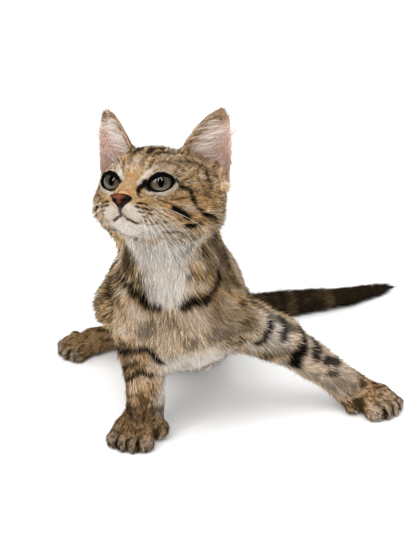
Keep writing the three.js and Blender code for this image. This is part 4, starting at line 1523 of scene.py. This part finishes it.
# %% [markdown]
# ## Whiskers
#
# Whiskers are stiff white hairs, thick at the root and drawn out to nothing. Fourteen stand in
# four rows on each pad, and four over each eye, and they droop. A bevelled curve would be as
# round, but the tufts' spindle is there already, and nine rings bend it finely.

# %% Whiskers and brow hairs
WHISKER_WIDE = 0.22
WHISKER_ROWS = [(9.5, -35.9, -9.2), (9.5, -36.8, -11.7), (9.8, -35.8, -14.3), (10.5, -33.5, -16.2)]


def whiskers(seed):
    rng = np.random.default_rng(seed)
    root, first, last, tall = [], [], [], []
    for s in (1, -1):
        for row, (x, y, z) in enumerate(WHISKER_ROWS):
            for k in range(4 if row < 3 else 2):
                root.append((s * (x + 1.6 * k), y + 1.5 * k, z + rng.normal() * 0.3))
                droop = -0.25 - 0.36 * row + 0.1 * rng.normal()
                first.append((s * (0.8 + 0.1 * k - 0.12 * row), -0.1 + 0.18 * k, droop))
                last.append((s * (0.5 + 0.12 * k - 0.12 * row), 0.2 + 0.1 * rng.normal(), -0.95 - 0.15 * row))
                tall.append((25 + 7 * k + 3 * rng.normal()) * (1.15 - 0.1 * row))
        for k in range(4):
            root.append((s * (7.5 + 2.2 * k), -26.5 + 1.8 * k, 10.5 + 0.8 * k))
            first.append((s * (0.2 + 0.15 * k), -0.7, 0.8))
            last.append((s * (0.4 + 0.2 * k), 0.3, 0.6))
            tall.append(13 + 2 * rng.normal())
    roots = from_head(onto_form(np.array(root), face_form, steps=4))
    first, last = (unit(np.array(v)) @ HEAD_TURN.T for v in (first, last))
    across = unit(np.cross(first, last))
    wide = np.where(np.array(tall) > 18, WHISKER_WIDE, WHISKER_WIDE * 0.7)
    made, height, tuft = spindles("whiskers", roots, first, last, across, np.array(tall), wide, 9)
    obj = new_object("whiskers", made)
    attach(obj, "root")
    print("whiskers:", len(root))
    return obj


whisker_piece = whiskers(77)

# %% [markdown]
# ## Eyeballs
#
# A kitten's eyeball is a sphere with a low bulge over the iris, where the clear cornea stands. A
# clear shell over a separate iris is nearest to life, but renders grey and noisy. So the eyeball
# is one wet surface, and each point keeps its place in the eye's own axes, where the iris is
# drawn.

# %% Eyeballs with their own axes
IRIS_DEGREES = 46
CORNEA_RISE = 0.55


def eyeball(eye, name):
    bm = bmesh.new()
    bmesh.ops.create_uvsphere(bm, u_segments=96, v_segments=64, radius=EYE_R)
    local = np.array([v.co for v in bm.verts]) / EYE_R
    for v, place in zip(bm.verts, local):
        dome = max(0.0, place[2] - math.cos(math.radians(IRIS_DEGREES)))
        v.co *= 1 + CORNEA_RISE / EYE_R * (dome / 0.31) ** 0.8
    made = mesh_from(bm, name)
    rise = unit(np.array([0, 0, 1]) - eye.gaze * eye.gaze[2])
    right = np.cross(rise, eye.gaze)
    axes = np.stack([right, rise, eye.gaze])
    flat = np.array([v.co for v in made.vertices])
    write_points(made, from_head(flat @ axes + eye.at))
    disc = made.attributes.new("disc", "FLOAT_VECTOR", "POINT")
    disc.data.foreach_set("vector", local.astype(np.float32).ravel())
    shade_smooth(made)
    obj = new_object(name + "ball", made)
    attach(obj, "root")
    return obj


balls = []
for eye, node in zip(eyes, ("eye_left", "eye_right")):
    balls.append(eyeball(eye, node))
    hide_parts(node)
print("eyeballs:", len(balls))

# %% [markdown]
# ## Edges of the lids
#
# A tabby's eyes are edged in black, hairless, damp skin. A bevelled curve would give a lip of one
# section, but this one is broad above the eye and narrow below. So a ring of corners is extruded
# from station to station of the lip's section, and the last ring is joined to the first.

# %% Lid edges
LID_SECTION = [  # spread in degrees, lift in mm, round the lip
    (-1.0, -0.4), (-2.0, 0.2), (-1.6, 0.6), (0.5, 0.9), (6.0, 1.2), (12.0, 1.25), (17.0, 0.3),
    (8.0, -0.5),
]
LID_BELOW = 0.15  # the lower lid's edge is this much as broad as the upper one's
LID_STEPS = 96


def lid_edge(eye, name):
    bm = bmesh.new()
    ring = bmesh.ops.create_circle(bm, segments=LID_STEPS, radius=1)["verts"]
    angles = [2 * math.pi * i / LID_STEPS for i in range(LID_STEPS)]
    loops = []
    for station, (spread, lift) in enumerate(LID_SECTION):
        if station:
            border = [e for e in bm.edges if e.verts[0] in ring and e.verts[1] in ring]
            made = bmesh.ops.extrude_edge_only(bm, edges=border)["geom"]
            fresh = [v for v in made if isinstance(v, bmesh.types.BMVert)]
            follow = {}
            for v in fresh:
                for e in v.link_edges:
                    other = e.other_vert(v)
                    if other in ring:
                        follow[other] = v
            ring = [follow[v] for v in ring]
        for v, angle in zip(ring, angles):
            broad = LID_BELOW + (1 - LID_BELOW) * (0.5 + 0.5 * math.sin(angle)) ** 1.2
            v.co = eye.margin(angle, lift, spread * broad)
        loops.append(list(ring))
    first_edges = [bm.edges.get((loops[0][i], loops[0][i - 1])) for i in range(LID_STEPS)]
    last_edges = [bm.edges.get((loops[-1][i], loops[-1][i - 1])) for i in range(LID_STEPS)]
    bmesh.ops.bridge_loops(bm, edges=first_edges + last_edges)
    bmesh.ops.recalc_face_normals(bm, faces=bm.faces)
    made = mesh_from(bm, name)
    write_points(made, from_head(np.array([v.co for v in made.vertices])))
    shade_smooth(made)
    obj = new_object(name, made)
    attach(obj, "root")
    return obj


lids = [lid_edge(eye, name) for eye, name in zip(eyes, ("lid_left", "lid_right"))]
print("lid edges:", [len(lid.data.polygons) for lid in lids])

# %% [markdown]
# ## The nose leather
#
# Bare, pebbled skin between the nostrils, rounded on top and drawn in to a point where the groove
# of the lip begins. Nostrils cut with a Boolean would have sharp rims. So a fine sphere is squared
# and drawn in, and each nostril is a comma pressed into it.

# %% Nose leather
NOSE_HALF = np.array([5.8, 3.3, 4.4])
NOSE_DROP = (0, 0.6, -0.9)  # of the leather's middle from the solid's


def nose_leather():
    bm = bmesh.new()
    bmesh.ops.create_icosphere(bm, subdivisions=6, radius=1)
    ball = np.array([v.co for v in bm.verts])
    made = mesh_from(bm, "nose_leather")
    x, y, z = (np.sign(ball) * np.abs(ball) ** (0.8, 0.6, 0.8)).T  # squarer than a ball
    z = np.where(z > 0, 0.7 * z, z)  # and flat on top
    wide = 0.30 + 0.70 * ramp(z, -1.0, 0.35)  # drawn in below
    shaped = np.stack([x * wide, y * (1 - 0.2 * ramp(-z, -0.2, 0.9)), z], 1) * NOSE_HALF
    m = both_sides(shaped)
    nostril = path_distance(m, [(1.9, -3.4, -0.9), (3.5, -2.9, -0.1), (5.4, -1.2, 0.7)])
    press = 1.5 * np.exp(-((nostril / 0.8) ** 2))
    furrow = 0.5 * np.exp(-((shaped[:, 0] / 0.5) ** 2)) * ramp(-z, -0.1, 0.5)
    wing = 0.6 * np.exp(-((path_distance(m, [(2.4, -3.2, 1.3), (4.6, -1.6, 1.6)]) / 1.0) ** 2))
    shaped += unit(shaped) * (wing - press - furrow)[:, None]
    write_points(made, from_head(shaped + NOSE_AT + NOSE_DROP))
    add_number(made, "nostril", np.exp(-((nostril / 1.45) ** 2)))
    outer = np.abs(x) + 0.9 * ramp(-z, 0.1, 0.9) + 0.55 * ramp(z, 0.35, 0.65)
    add_number(made, "rim", ramp(outer, 0.30, 0.80))
    shade_smooth(made)
    obj = new_object("nose_leather", made)
    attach(obj, "root")
    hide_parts("nose")
    print("nose leather:", len(made.polygons), "faces")
    return obj


nose = nose_leather()

# %% [markdown]
# ## Claws
#
# A resting cat keeps its claws in their sheaths, and only pale points show between the hairs of
# the toes. A claw could be a bent curve with a taper. A cone with a few rings is as simple: it is
# pressed flat, laid forwards and bent into a hook, once for every toe.

# %% Claws
CLAW_LONG, CLAW_THICK = 3.6, 0.7


def claw_mesh():
    bm = bmesh.new()
    bmesh.ops.create_cone(bm, cap_ends=True, segments=10, radius1=CLAW_THICK, radius2=0.12, depth=CLAW_LONG)
    lengthwise = [e for e in bm.edges if abs(e.verts[0].co.z - e.verts[1].co.z) > 1]
    bmesh.ops.subdivide_edges(bm, edges=lengthwise, cuts=5)
    for v in bm.verts:
        s = v.co.z / CLAW_LONG + 0.5
        v.co = Vector((v.co.x * 0.6, -v.co.z - CLAW_LONG / 2, v.co.y - 1.9 * s * s))
    bmesh.ops.recalc_face_normals(bm, faces=bm.faces)
    return bm


all_claws = bmesh.new()
for name, at, turned, radius, spread, reach, first in FEET:
    turn = Matrix.Translation((*at, 0)) @ Matrix.Rotation(math.radians(turned), 4, "Z")
    spots = [(k * spread * 1.12, abs(k) * 2.3 - reach - radius * 0.45, radius * 0.6) for k in TOES]
    if first:
        spots.append((first * 15, 1.8, 4.0))
    for spot in spots:
        one = claw_mesh()
        bmesh.ops.transform(one, matrix=turn @ Matrix.Translation(spot), verts=one.verts)
        piece = mesh_from(one, "claw")
        all_claws.from_mesh(piece)
        bpy.data.meshes.remove(piece)
claw_data = mesh_from(all_claws, "claws")
write_points(claw_data, np.array([v.co for v in claw_data.vertices]))
shade_smooth(claw_data)
claws = new_object("claws", claw_data)
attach(claws, "root")
print("claws:", len(claw_data.polygons), "faces")

# %% [markdown]
# ## The skin becomes a piece
#
# The hide shows where the coat parts, and lies open in the ears. It gets the coat's own markings,
# or every gap in a black stripe would gleam, and it stands for all the solids of flesh at once.

# %% Dress the skin
add_colour(mesh, "marks_and_shade", marks_and_shade)
add_number(mesh, "bare", bare)
# painted shade: the skin gets the colours from low on a tuft, a little darker than the hair's middle
add_number(mesh, "along", np.full(len(points), 0.3))
add_number(mesh, "lock", np.full(len(points), 0.5))
shade_smooth(mesh)
skin = new_object("kitten_skin", mesh)
bpy.data.objects.remove(wrap)
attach(skin, "root")
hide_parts(*[name for name in frame["nodes"] if not name.startswith(("eye", "nose"))])
print("skin:", len(mesh.polygons), "faces")

# %% [markdown]
# ## Colours and nodes
#
# A finish is a small tree of nodes in front of one shader. Every node takes the same few lines,
# so one function adds any of them, with its settings, values and links. Colours are picked as
# sRGB hex values, as in a paint program, and the shader wants them linear.

# %% A colour, a node and a material
def colour(hex_code):
    """An sRGB hex colour as linear RGBA."""
    srgb = [int(hex_code[i:i + 2], 16) / 255 for i in (1, 3, 5)]
    return [c / 12.92 if c <= 0.04045 else ((c + 0.055) / 1.055) ** 2.4 for c in srgb] + [1.0]


def set_up(node, links=None, **values):
    """Gives a node's sockets plain values, or joins them to other nodes."""
    for key, value in values.items():
        node.inputs[key.replace("_", " ")].default_value = value
    for key, output in (links or {}).items():
        node.id_data.links.new(output, node.inputs[key])


def add(nodes, kind, links=None, settings=None, stops=(), **values):
    """One node: its settings, its sockets' values, its links, and a ramp's (place, hex) stops."""
    node = nodes.new("ShaderNode" + kind)
    for key, value in (settings or {}).items():
        setattr(node, key, value)
    set_up(node, links, **values)
    for k, (place, hex_code) in enumerate(stops):
        element = node.color_ramp.elements[k] if k < 2 else node.color_ramp.elements.new(place)
        element.position, element.color = place, colour(hex_code)
    return node


def material(name):
    made = bpy.data.materials.new(name)
    made.use_nodes = True
    nodes = made.node_tree.nodes
    return made, nodes, nodes["Principled BSDF"]


print("mid grey is", round(colour("#808080")[0], 3), "in linear light")

# %% [markdown]
# ## Tabby hair
#
# Cat hair is keratin that grows in bands: grey at the root, pale further up, dark at its tip. In a
# stripe it is black-brown throughout, and on the bib cream. A hair shader wants hair curves. On
# solid tufts, a ramp along the tuft for each of four kinds of hair does the same.

# %% The colour of the coat
BLEND = {"data_type": "RGBA"}
TICKED = [(0.0, "#6A5843"), (0.35, "#C6A275"), (0.72, "#E0BE8C"), (0.9, "#5C4A36"), (1.0, "#32271B")]
WARM = [(0.0, "#7A5636"), (0.4, "#C3945E"), (0.8, "#D8AE74"), (1.0, "#A27A4C")]
PALE = [(0.0, "#C8BAAC"), (0.5, "#EEE4D8"), (1.0, "#FBF6EE")]
DARK = [(0.0, "#261C14"), (0.5, "#130E0A"), (1.0, "#0B0806")]


def coat_colour(nodes):
    """Ground, warm, pale and dark hair, mixed by the markings and their painted shade."""
    mark = add(nodes, "Attribute", settings={"attribute_name": "marks_and_shade"})
    along = add(nodes, "Attribute", settings={"attribute_name": "along"}).outputs["Fac"]
    lock = add(nodes, "Attribute", settings={"attribute_name": "lock"}).outputs["Fac"]
    parts = add(nodes, "SeparateColor", {"Color": mark.outputs["Color"]})
    ground = add(nodes, "ValToRGB", {"Fac": along}, stops=TICKED).outputs["Color"]
    for channel, hair in (("Green", WARM), ("Blue", PALE), ("Red", DARK)):
        other = add(nodes, "ValToRGB", {"Fac": along}, stops=hair).outputs["Color"]
        ground = add(nodes, "Mix", {0: parts.outputs[channel], 6: ground, 7: other}, BLEND).outputs[2]
    bright = add(nodes, "MapRange", {"Value": lock}, To_Min=0.45, To_Max=1.5)
    tinted = add(nodes, "HueSaturation", {"Color": ground, "Value": bright.outputs["Result"]})
    return tinted.outputs["Color"]


print("kinds of hair:", len((TICKED, WARM, PALE, DARK)))

# %% [markdown]
# ## The shine of the coat
#
# A kitten's hair is grown keratin, fine and hardly greased yet, so it shines softly and very
# weakly. A glossier setting would put a light on every tuft. This one lets the eye see the bands
# and the shadows between the tufts.

# %% Hair for every piece of coat
fur, nodes, shader = material("tabby hair")
set_up(shader, {"Base Color": coat_colour(nodes)}, Roughness=0.75, Specular_IOR_Level=0.02)
for coat in coats:
    coat.data.materials.append(fur)
print("hair on", len(coats), "pieces")

# %% [markdown]
# ## Skin under the coat
#
# Skin is matt and finely wrinkled. Where it is bare, in the ears and on the lips, it is pink, with
# a nearly black line between the lips. Under the coat it wears the coat's colours. One material
# does both, because two would part at a hard line.

# %% Pink, black and downy skin
PINK = [(0.0, "#AC8A80"), (0.5, "#CCA99E"), (1.0, "#DEC2B6")]
LIP_LINE_AND_EAR_SHADE = [(0.3, "#120B0A"), (0.8, "#1C1211")]
WRINKLE = 1.2  # mm
BLOTCH = 6  # mm

# Grown skin with down on it is never glossy: the eye gets a soft surface with fine creases.
hide, nodes, shader = material("kitten skin with short down")
place = add(nodes, "TexCoord").outputs["Object"]
cloud = add(nodes, "TexNoise", {"Vector": place}, Scale=1 / (BLOTCH * MM), Detail=3.0)
is_bare = add(nodes, "Attribute", settings={"attribute_name": "bare"}).outputs["Fac"]
pink = add(nodes, "ValToRGB", {"Fac": cloud.outputs["Fac"]}, stops=PINK).outputs["Color"]
ground = coat_colour(nodes)
mark = add(nodes, "Attribute", settings={"attribute_name": "marks_and_shade"})
dark_part = add(nodes, "SeparateColor", {"Color": mark.outputs["Color"]}).outputs["Red"]
line = add(nodes, "ValToRGB", {"Fac": cloud.outputs["Fac"]}, stops=LIP_LINE_AND_EAR_SHADE).outputs["Color"]
# the dark number turns bare skin near black: the lips' line, the lids' rims and painted shade deep in the ear
pink = add(nodes, "Mix", {0: dark_part, 6: pink, 7: line}, BLEND).outputs[2]
hide_colour = add(nodes, "Mix", {0: is_bare, 6: ground, 7: pink}, BLEND).outputs[2]
wrinkles = add(nodes, "TexNoise", {"Vector": place}, Scale=1 / (WRINKLE * MM), Detail=2.0)
bump = add(nodes, "Bump", {"Height": wrinkles.outputs["Fac"]}, Strength=0.25, Distance=0.2 * MM)
set_up(shader, {"Base Color": hide_colour, "Normal": bump.outputs["Normal"]},
       Roughness=0.7, Specular_IOR_Level=0.2)
mesh.materials.clear()
mesh.materials.append(hide)
print("skin:", len(nodes), "nodes")

# %% [markdown]
# ## Whisker keratin
#
# A whisker is one solid hair of keratin without pigment, a quarter of a millimetre thick. Glass
# would be too clear and paint too dull, and its grain is far too fine to show. A plain white with
# a faint shine draws the thin bright line that it is.

# %% White whiskers
white, nodes, shader = material("whisker keratin")
set_up(shader, Base_Color=colour("#F7F4EE"), Roughness=0.4)
whisker_piece.data.materials.append(white)
print("whiskers:", white.name)

# %% [markdown]
# ## Claw horn
#
# A kitten's claw is clear horn that grew in layers, milky where it is thick. Real transparency
# costs many samples on points so small. A little light scattered under the surface, and a cloudy
# colour, give the same waxy look.

# %% Translucent claws
HORN = [(0.3, "#9C8B77"), (0.7, "#B9A995")]
horn, nodes, shader = material("translucent claw horn")
place = add(nodes, "TexCoord").outputs["Object"]
milk = add(nodes, "TexNoise", {"Vector": place}, Scale=1 / (2 * MM), Detail=2.0)
milky = add(nodes, "ValToRGB", {"Fac": milk.outputs["Fac"]}, stops=HORN)
set_up(shader, {"Base Color": milky.outputs["Color"]}, Roughness=0.3,
       Subsurface_Weight=0.15, Subsurface_Radius=(0.002, 0.0012, 0.0008))
claw_data.materials.append(horn)
print("claws:", len(nodes), "nodes")

# %% [markdown]
# ## Lid skin
#
# The edge of the lid is bare black skin, kept damp by tears, with pores that break its shine. A
# mirror-like black would look like rubber. So it is nearly black with a weak and broad shine, and
# a bump as fine as the pores.

# %% Wet black skin
LID_BLACK = [(0.3, "#030202"), (0.8, "#070504")]
PORE = 0.8  # mm
wet_skin, nodes, shader = material("wet black lid skin")
place = add(nodes, "TexCoord").outputs["Object"]
pores = add(nodes, "TexNoise", {"Vector": place}, Scale=1 / (PORE * MM), Detail=2.0)
black = add(nodes, "ValToRGB", {"Fac": pores.outputs["Fac"]}, stops=LID_BLACK)
bump = add(nodes, "Bump", {"Height": pores.outputs["Fac"]}, Strength=0.3, Distance=0.1 * MM)
set_up(shader, {"Base Color": black.outputs["Color"], "Normal": bump.outputs["Normal"]},
       Roughness=0.45, Specular_IOR_Level=0.03)
for lid in lids:
    lid.data.materials.append(wet_skin)
print("lids:", len(nodes), "nodes")

# %% [markdown]
# ## Nose leather
#
# The leather is thick, slightly moist skin that grew in pebbles half a millimetre wide. It is
# brick-red and darker at its rim. The nostrils are holes in shade, and their black is painted shade.
# Painted spots would slide on so small a form. Rim and nostrils are numbers on the mesh, which place
# the colours.

# %% Brick-red and pebbled
PEBBLE = 0.45  # mm
BRICK = [(0.3, "#5C301F"), (0.7, "#764531")]
RIM = [(0.3, "#170A06"), (0.7, "#23110B")]
NOSTRIL_SHADE = [(0.3, "#120B08"), (0.7, "#1C110C")]

# Pebbles break the moist shine into small soft lights.
leather_skin, nodes, shader = material("moist brick-red nose leather")
place = add(nodes, "TexCoord").outputs["Object"]
cells = add(nodes, "TexVoronoi", {"Vector": place}, Scale=1 / (PEBBLE * MM))
mottle = add(nodes, "TexNoise", {"Vector": place}, Scale=1 / (2.5 * MM), Detail=3.0).outputs["Fac"]
brick, edge_colour, black = (
    add(nodes, "ValToRGB", {"Fac": mottle}, stops=stops).outputs["Color"] for stops in (BRICK, RIM, NOSTRIL_SHADE))
rim = add(nodes, "Attribute", settings={"attribute_name": "rim"}).outputs["Fac"]
hole = add(nodes, "Attribute", settings={"attribute_name": "nostril"}).outputs["Fac"]
nose_colour = add(nodes, "Mix", {0: rim, 6: brick, 7: edge_colour}, BLEND).outputs[2]
# painted shade: the nostrils are painted near black
nose_colour = add(nodes, "Mix", {0: hole, 6: nose_colour, 7: black}, BLEND).outputs[2]
bump = add(nodes, "Bump", {"Height": cells.outputs["Distance"]}, Strength=0.35, Distance=0.12 * MM)
set_up(shader, {"Base Color": nose_colour, "Normal": bump.outputs["Normal"]},
       Roughness=0.42, Specular_IOR_Level=0.06)
nose.data.materials.append(leather_skin)
print("nose leather:", len(nodes), "nodes")

# %% [markdown]
# ## The iris
#
# The iris is a ring of muscle with fine spokes behind clear cornea: grey-green and darker at both
# edges. Light and shade are painted on it as well: lighter below, where light from above ends up,
# and darker at the top, in the shadow of the upper lid. A picture of an eye would be blurred from
# near. A ramp along the radius draws the rings, and noise over the directions the spokes.

# %% Rings and spokes
IRIS = [(0.0, "#1C1915"), (0.25, "#39342B"), (0.42, "#4A4439"), (0.54, "#3A342B"), (0.63, "#0E0B08")]
wet_eye, nodes, shader = material("wet kitten eye")
disc = add(nodes, "Attribute", settings={"attribute_name": "disc"}).outputs["Vector"]
xyz = add(nodes, "SeparateXYZ", {"Vector": disc})
flat_disc = add(nodes, "CombineXYZ", {"X": xyz.outputs["X"], "Y": xyz.outputs["Y"]}).outputs[0]
radius = add(nodes, "VectorMath", {0: flat_disc}, {"operation": "LENGTH"}).outputs["Value"]
spoke_way = add(nodes, "VectorMath", {0: flat_disc}, {"operation": "NORMALIZE"}).outputs["Vector"]
stretch = add(nodes, "CombineXYZ", {"Z": radius}).outputs[0]
spoke_at = add(nodes, "VectorMath", {0: spoke_way, 1: stretch}, {"operation": "ADD"}).outputs["Vector"]
spokes = add(nodes, "TexNoise", {"Vector": spoke_at}, Scale=9.0, Detail=4.0, Roughness=0.7)
iris = add(nodes, "ValToRGB", {"Fac": radius}, stops=IRIS).outputs["Color"]
fibre = add(nodes, "MapRange", {"Value": spokes.outputs["Fac"]},
            From_Min=0.3, From_Max=0.7, To_Min=0.65, To_Max=1.35).outputs["Result"]
# painted light and shade: the iris is lighter below and darker at the top, in the lid's shadow
height = add(nodes, "MapRange", {"Value": xyz.outputs["Y"]},
             From_Min=-0.6, From_Max=0.5, To_Min=1.8, To_Max=0.45).outputs["Result"]
fibre_and_painted_light = add(nodes, "Math", {0: fibre, 1: height}, {"operation": "MULTIPLY"}).outputs[0]
iris = add(nodes, "HueSaturation", {"Color": iris, "Value": fibre_and_painted_light}).outputs["Color"]
print("iris:", len(nodes), "nodes")

# %% [markdown]
# ## Pupil and cornea
#
# In good light a cat's pupil is a tall oval, a hole that looks black. Cut into the ball it would
# be hidden by the wet surface, so it is a colour, as is the dark round the iris. The cornea is
# smooth and wet and mirrors the lamps sharply, which makes the eye look alive.

# %% A black oval behind a wet surface
PUPIL = (0.175, 0.30)  # half-width and half-height, to the eyeball's radius
oval = add(nodes, "VectorMath", {0: flat_disc}, {"operation": "DIVIDE"})
oval.inputs[1].default_value = (*PUPIL, 1)
oval_radius = add(nodes, "VectorMath", {0: oval.outputs["Vector"]}, {"operation": "LENGTH"}).outputs["Value"]
in_pupil = add(nodes, "MapRange", {"Value": oval_radius},
               From_Min=0.93, From_Max=1.07, To_Min=1.0, To_Max=0.0).outputs["Result"]
outside = add(nodes, "MapRange", {"Value": radius}, From_Min=0.68, From_Max=0.73).outputs["Result"]
with_pupil = add(nodes, "Mix", {0: in_pupil, 6: iris}, BLEND)
with_pupil.inputs[7].default_value = colour("#040303")
eye_colour = add(nodes, "Mix", {0: outside, 6: with_pupil.outputs[2]}, BLEND)
eye_colour.inputs[7].default_value = colour("#17110D")
set_up(shader, {"Base Color": eye_colour.outputs[2]}, Roughness=0.04, IOR=1.38, Specular_IOR_Level=0.7)
for ball in balls:
    ball.data.materials.append(wet_eye)
print("materials:", len(bpy.data.materials))

# %% [markdown]
# ## The camera
#
# A small animal is best seen through a long lens from some way off, because a short lens close by
# would swell its nose and shrink its body. This one looks down by 24 degrees and isn't turned, so
# its place alone frames the kitten.

# %% Camera
CAMERA_AT = np.array([0, -692.03, 412.54])
CAMERA_TILT = 24  # degrees down
LENS = 90
camera = new_object("camera", bpy.data.cameras.new("camera"))
camera.data.lens = LENS
camera.data.sensor_width = 36
camera.data.clip_start = 0.01
camera.location = (CAMERA_AT + SHIFT) * MM
camera.rotation_euler = (math.radians(90 - CAMERA_TILT), 0, 0)
bpy.context.scene.camera = camera
print("camera to head:", np.linalg.norm(CAMERA_AT - HEAD_AT).round(), "mm")

# %% [markdown]
# ## The floor
#
# The kitten sits on matt white paper, so wide that no view sees its end. A curved sweep would
# hide the horizon, but no horizon shows against a white surround. It is only the stage.

# %% White paper
bm = bmesh.new()
bmesh.ops.create_grid(bm, x_segments=1, y_segments=1, size=6)
floor_mesh = mesh_from(bm, "studio_floor")
floor = new_object("studio_floor", floor_mesh)
sweep, nodes, shader = material("white studio paper")
set_up(shader, Base_Color=colour("#FAFAFA"), Roughness=0.9)
floor_mesh.materials.append(sweep)
print("floor:", floor.dimensions.x, "m wide")

# %% [markdown]
# ## The soft light
#
# A wide soft lamp from above, in front and the camera's left shapes the fur, and a white surround
# fills the shadows. Mirrored in the eyes, both would veil the pupils in grey, so neither is seen
# in reflections.

# %% Surround and soft sun
world = bpy.data.worlds.new("studio")
world.use_nodes = True
set_up(world.node_tree.nodes["Background"], Color=(1, 1, 1, 1), Strength=1.0)
world.cycles_visibility.glossy = False
bpy.context.scene.world = world

SUN_TOWARDS = (0.30, 0.75, -0.8)  # which way its light falls
sun = bpy.data.lights.new("softbox", "SUN")
sun.energy = 0.95
sun.angle = math.radians(50)
lamp = new_object("softbox", sun)
lamp.rotation_euler = Vector(SUN_TOWARDS).to_track_quat("-Z", "Y").to_euler()
lamp.visible_glossy = False
print("sun:", sun.energy, "W per square metre")

# %% [markdown]
# ## Lights in the eyes
#
# Living eyes mirror something bright, and in a studio that is a row of lamps. Painted highlights
# would stay put when the cat is seen from elsewhere. Three narrow strips above the head are
# mirrored as three short streaks, and they hardly light the fur.

# %% Three strips
STRIPS_TOWARDS = [(-0.50, -0.47, 0.70), (-0.10, -0.43, 0.88), (0.24, -0.40, 0.88)]  # from the head
STRIP_AWAY, STRIP_SIZE = 1.0, (0.09, 0.50)  # metres
for number, towards in enumerate(STRIPS_TOWARDS):
    strip = bpy.data.lights.new(f"strip_{number}", "AREA")
    strip.shape = "RECTANGLE"
    strip.size, strip.size_y = STRIP_SIZE
    strip.energy = 2.0
    lamp = new_object(f"strip_{number}", strip)
    lamp.location = Vector((HEAD_AT + SHIFT) * MM) + STRIP_AWAY * Vector(towards).normalized()
    lamp.rotation_euler = (-Vector(towards)).to_track_quat("-Z", "Y").to_euler()
bpy.context.scene.view_settings.view_transform = "Standard"
print("strips:", len(STRIPS_TOWARDS))
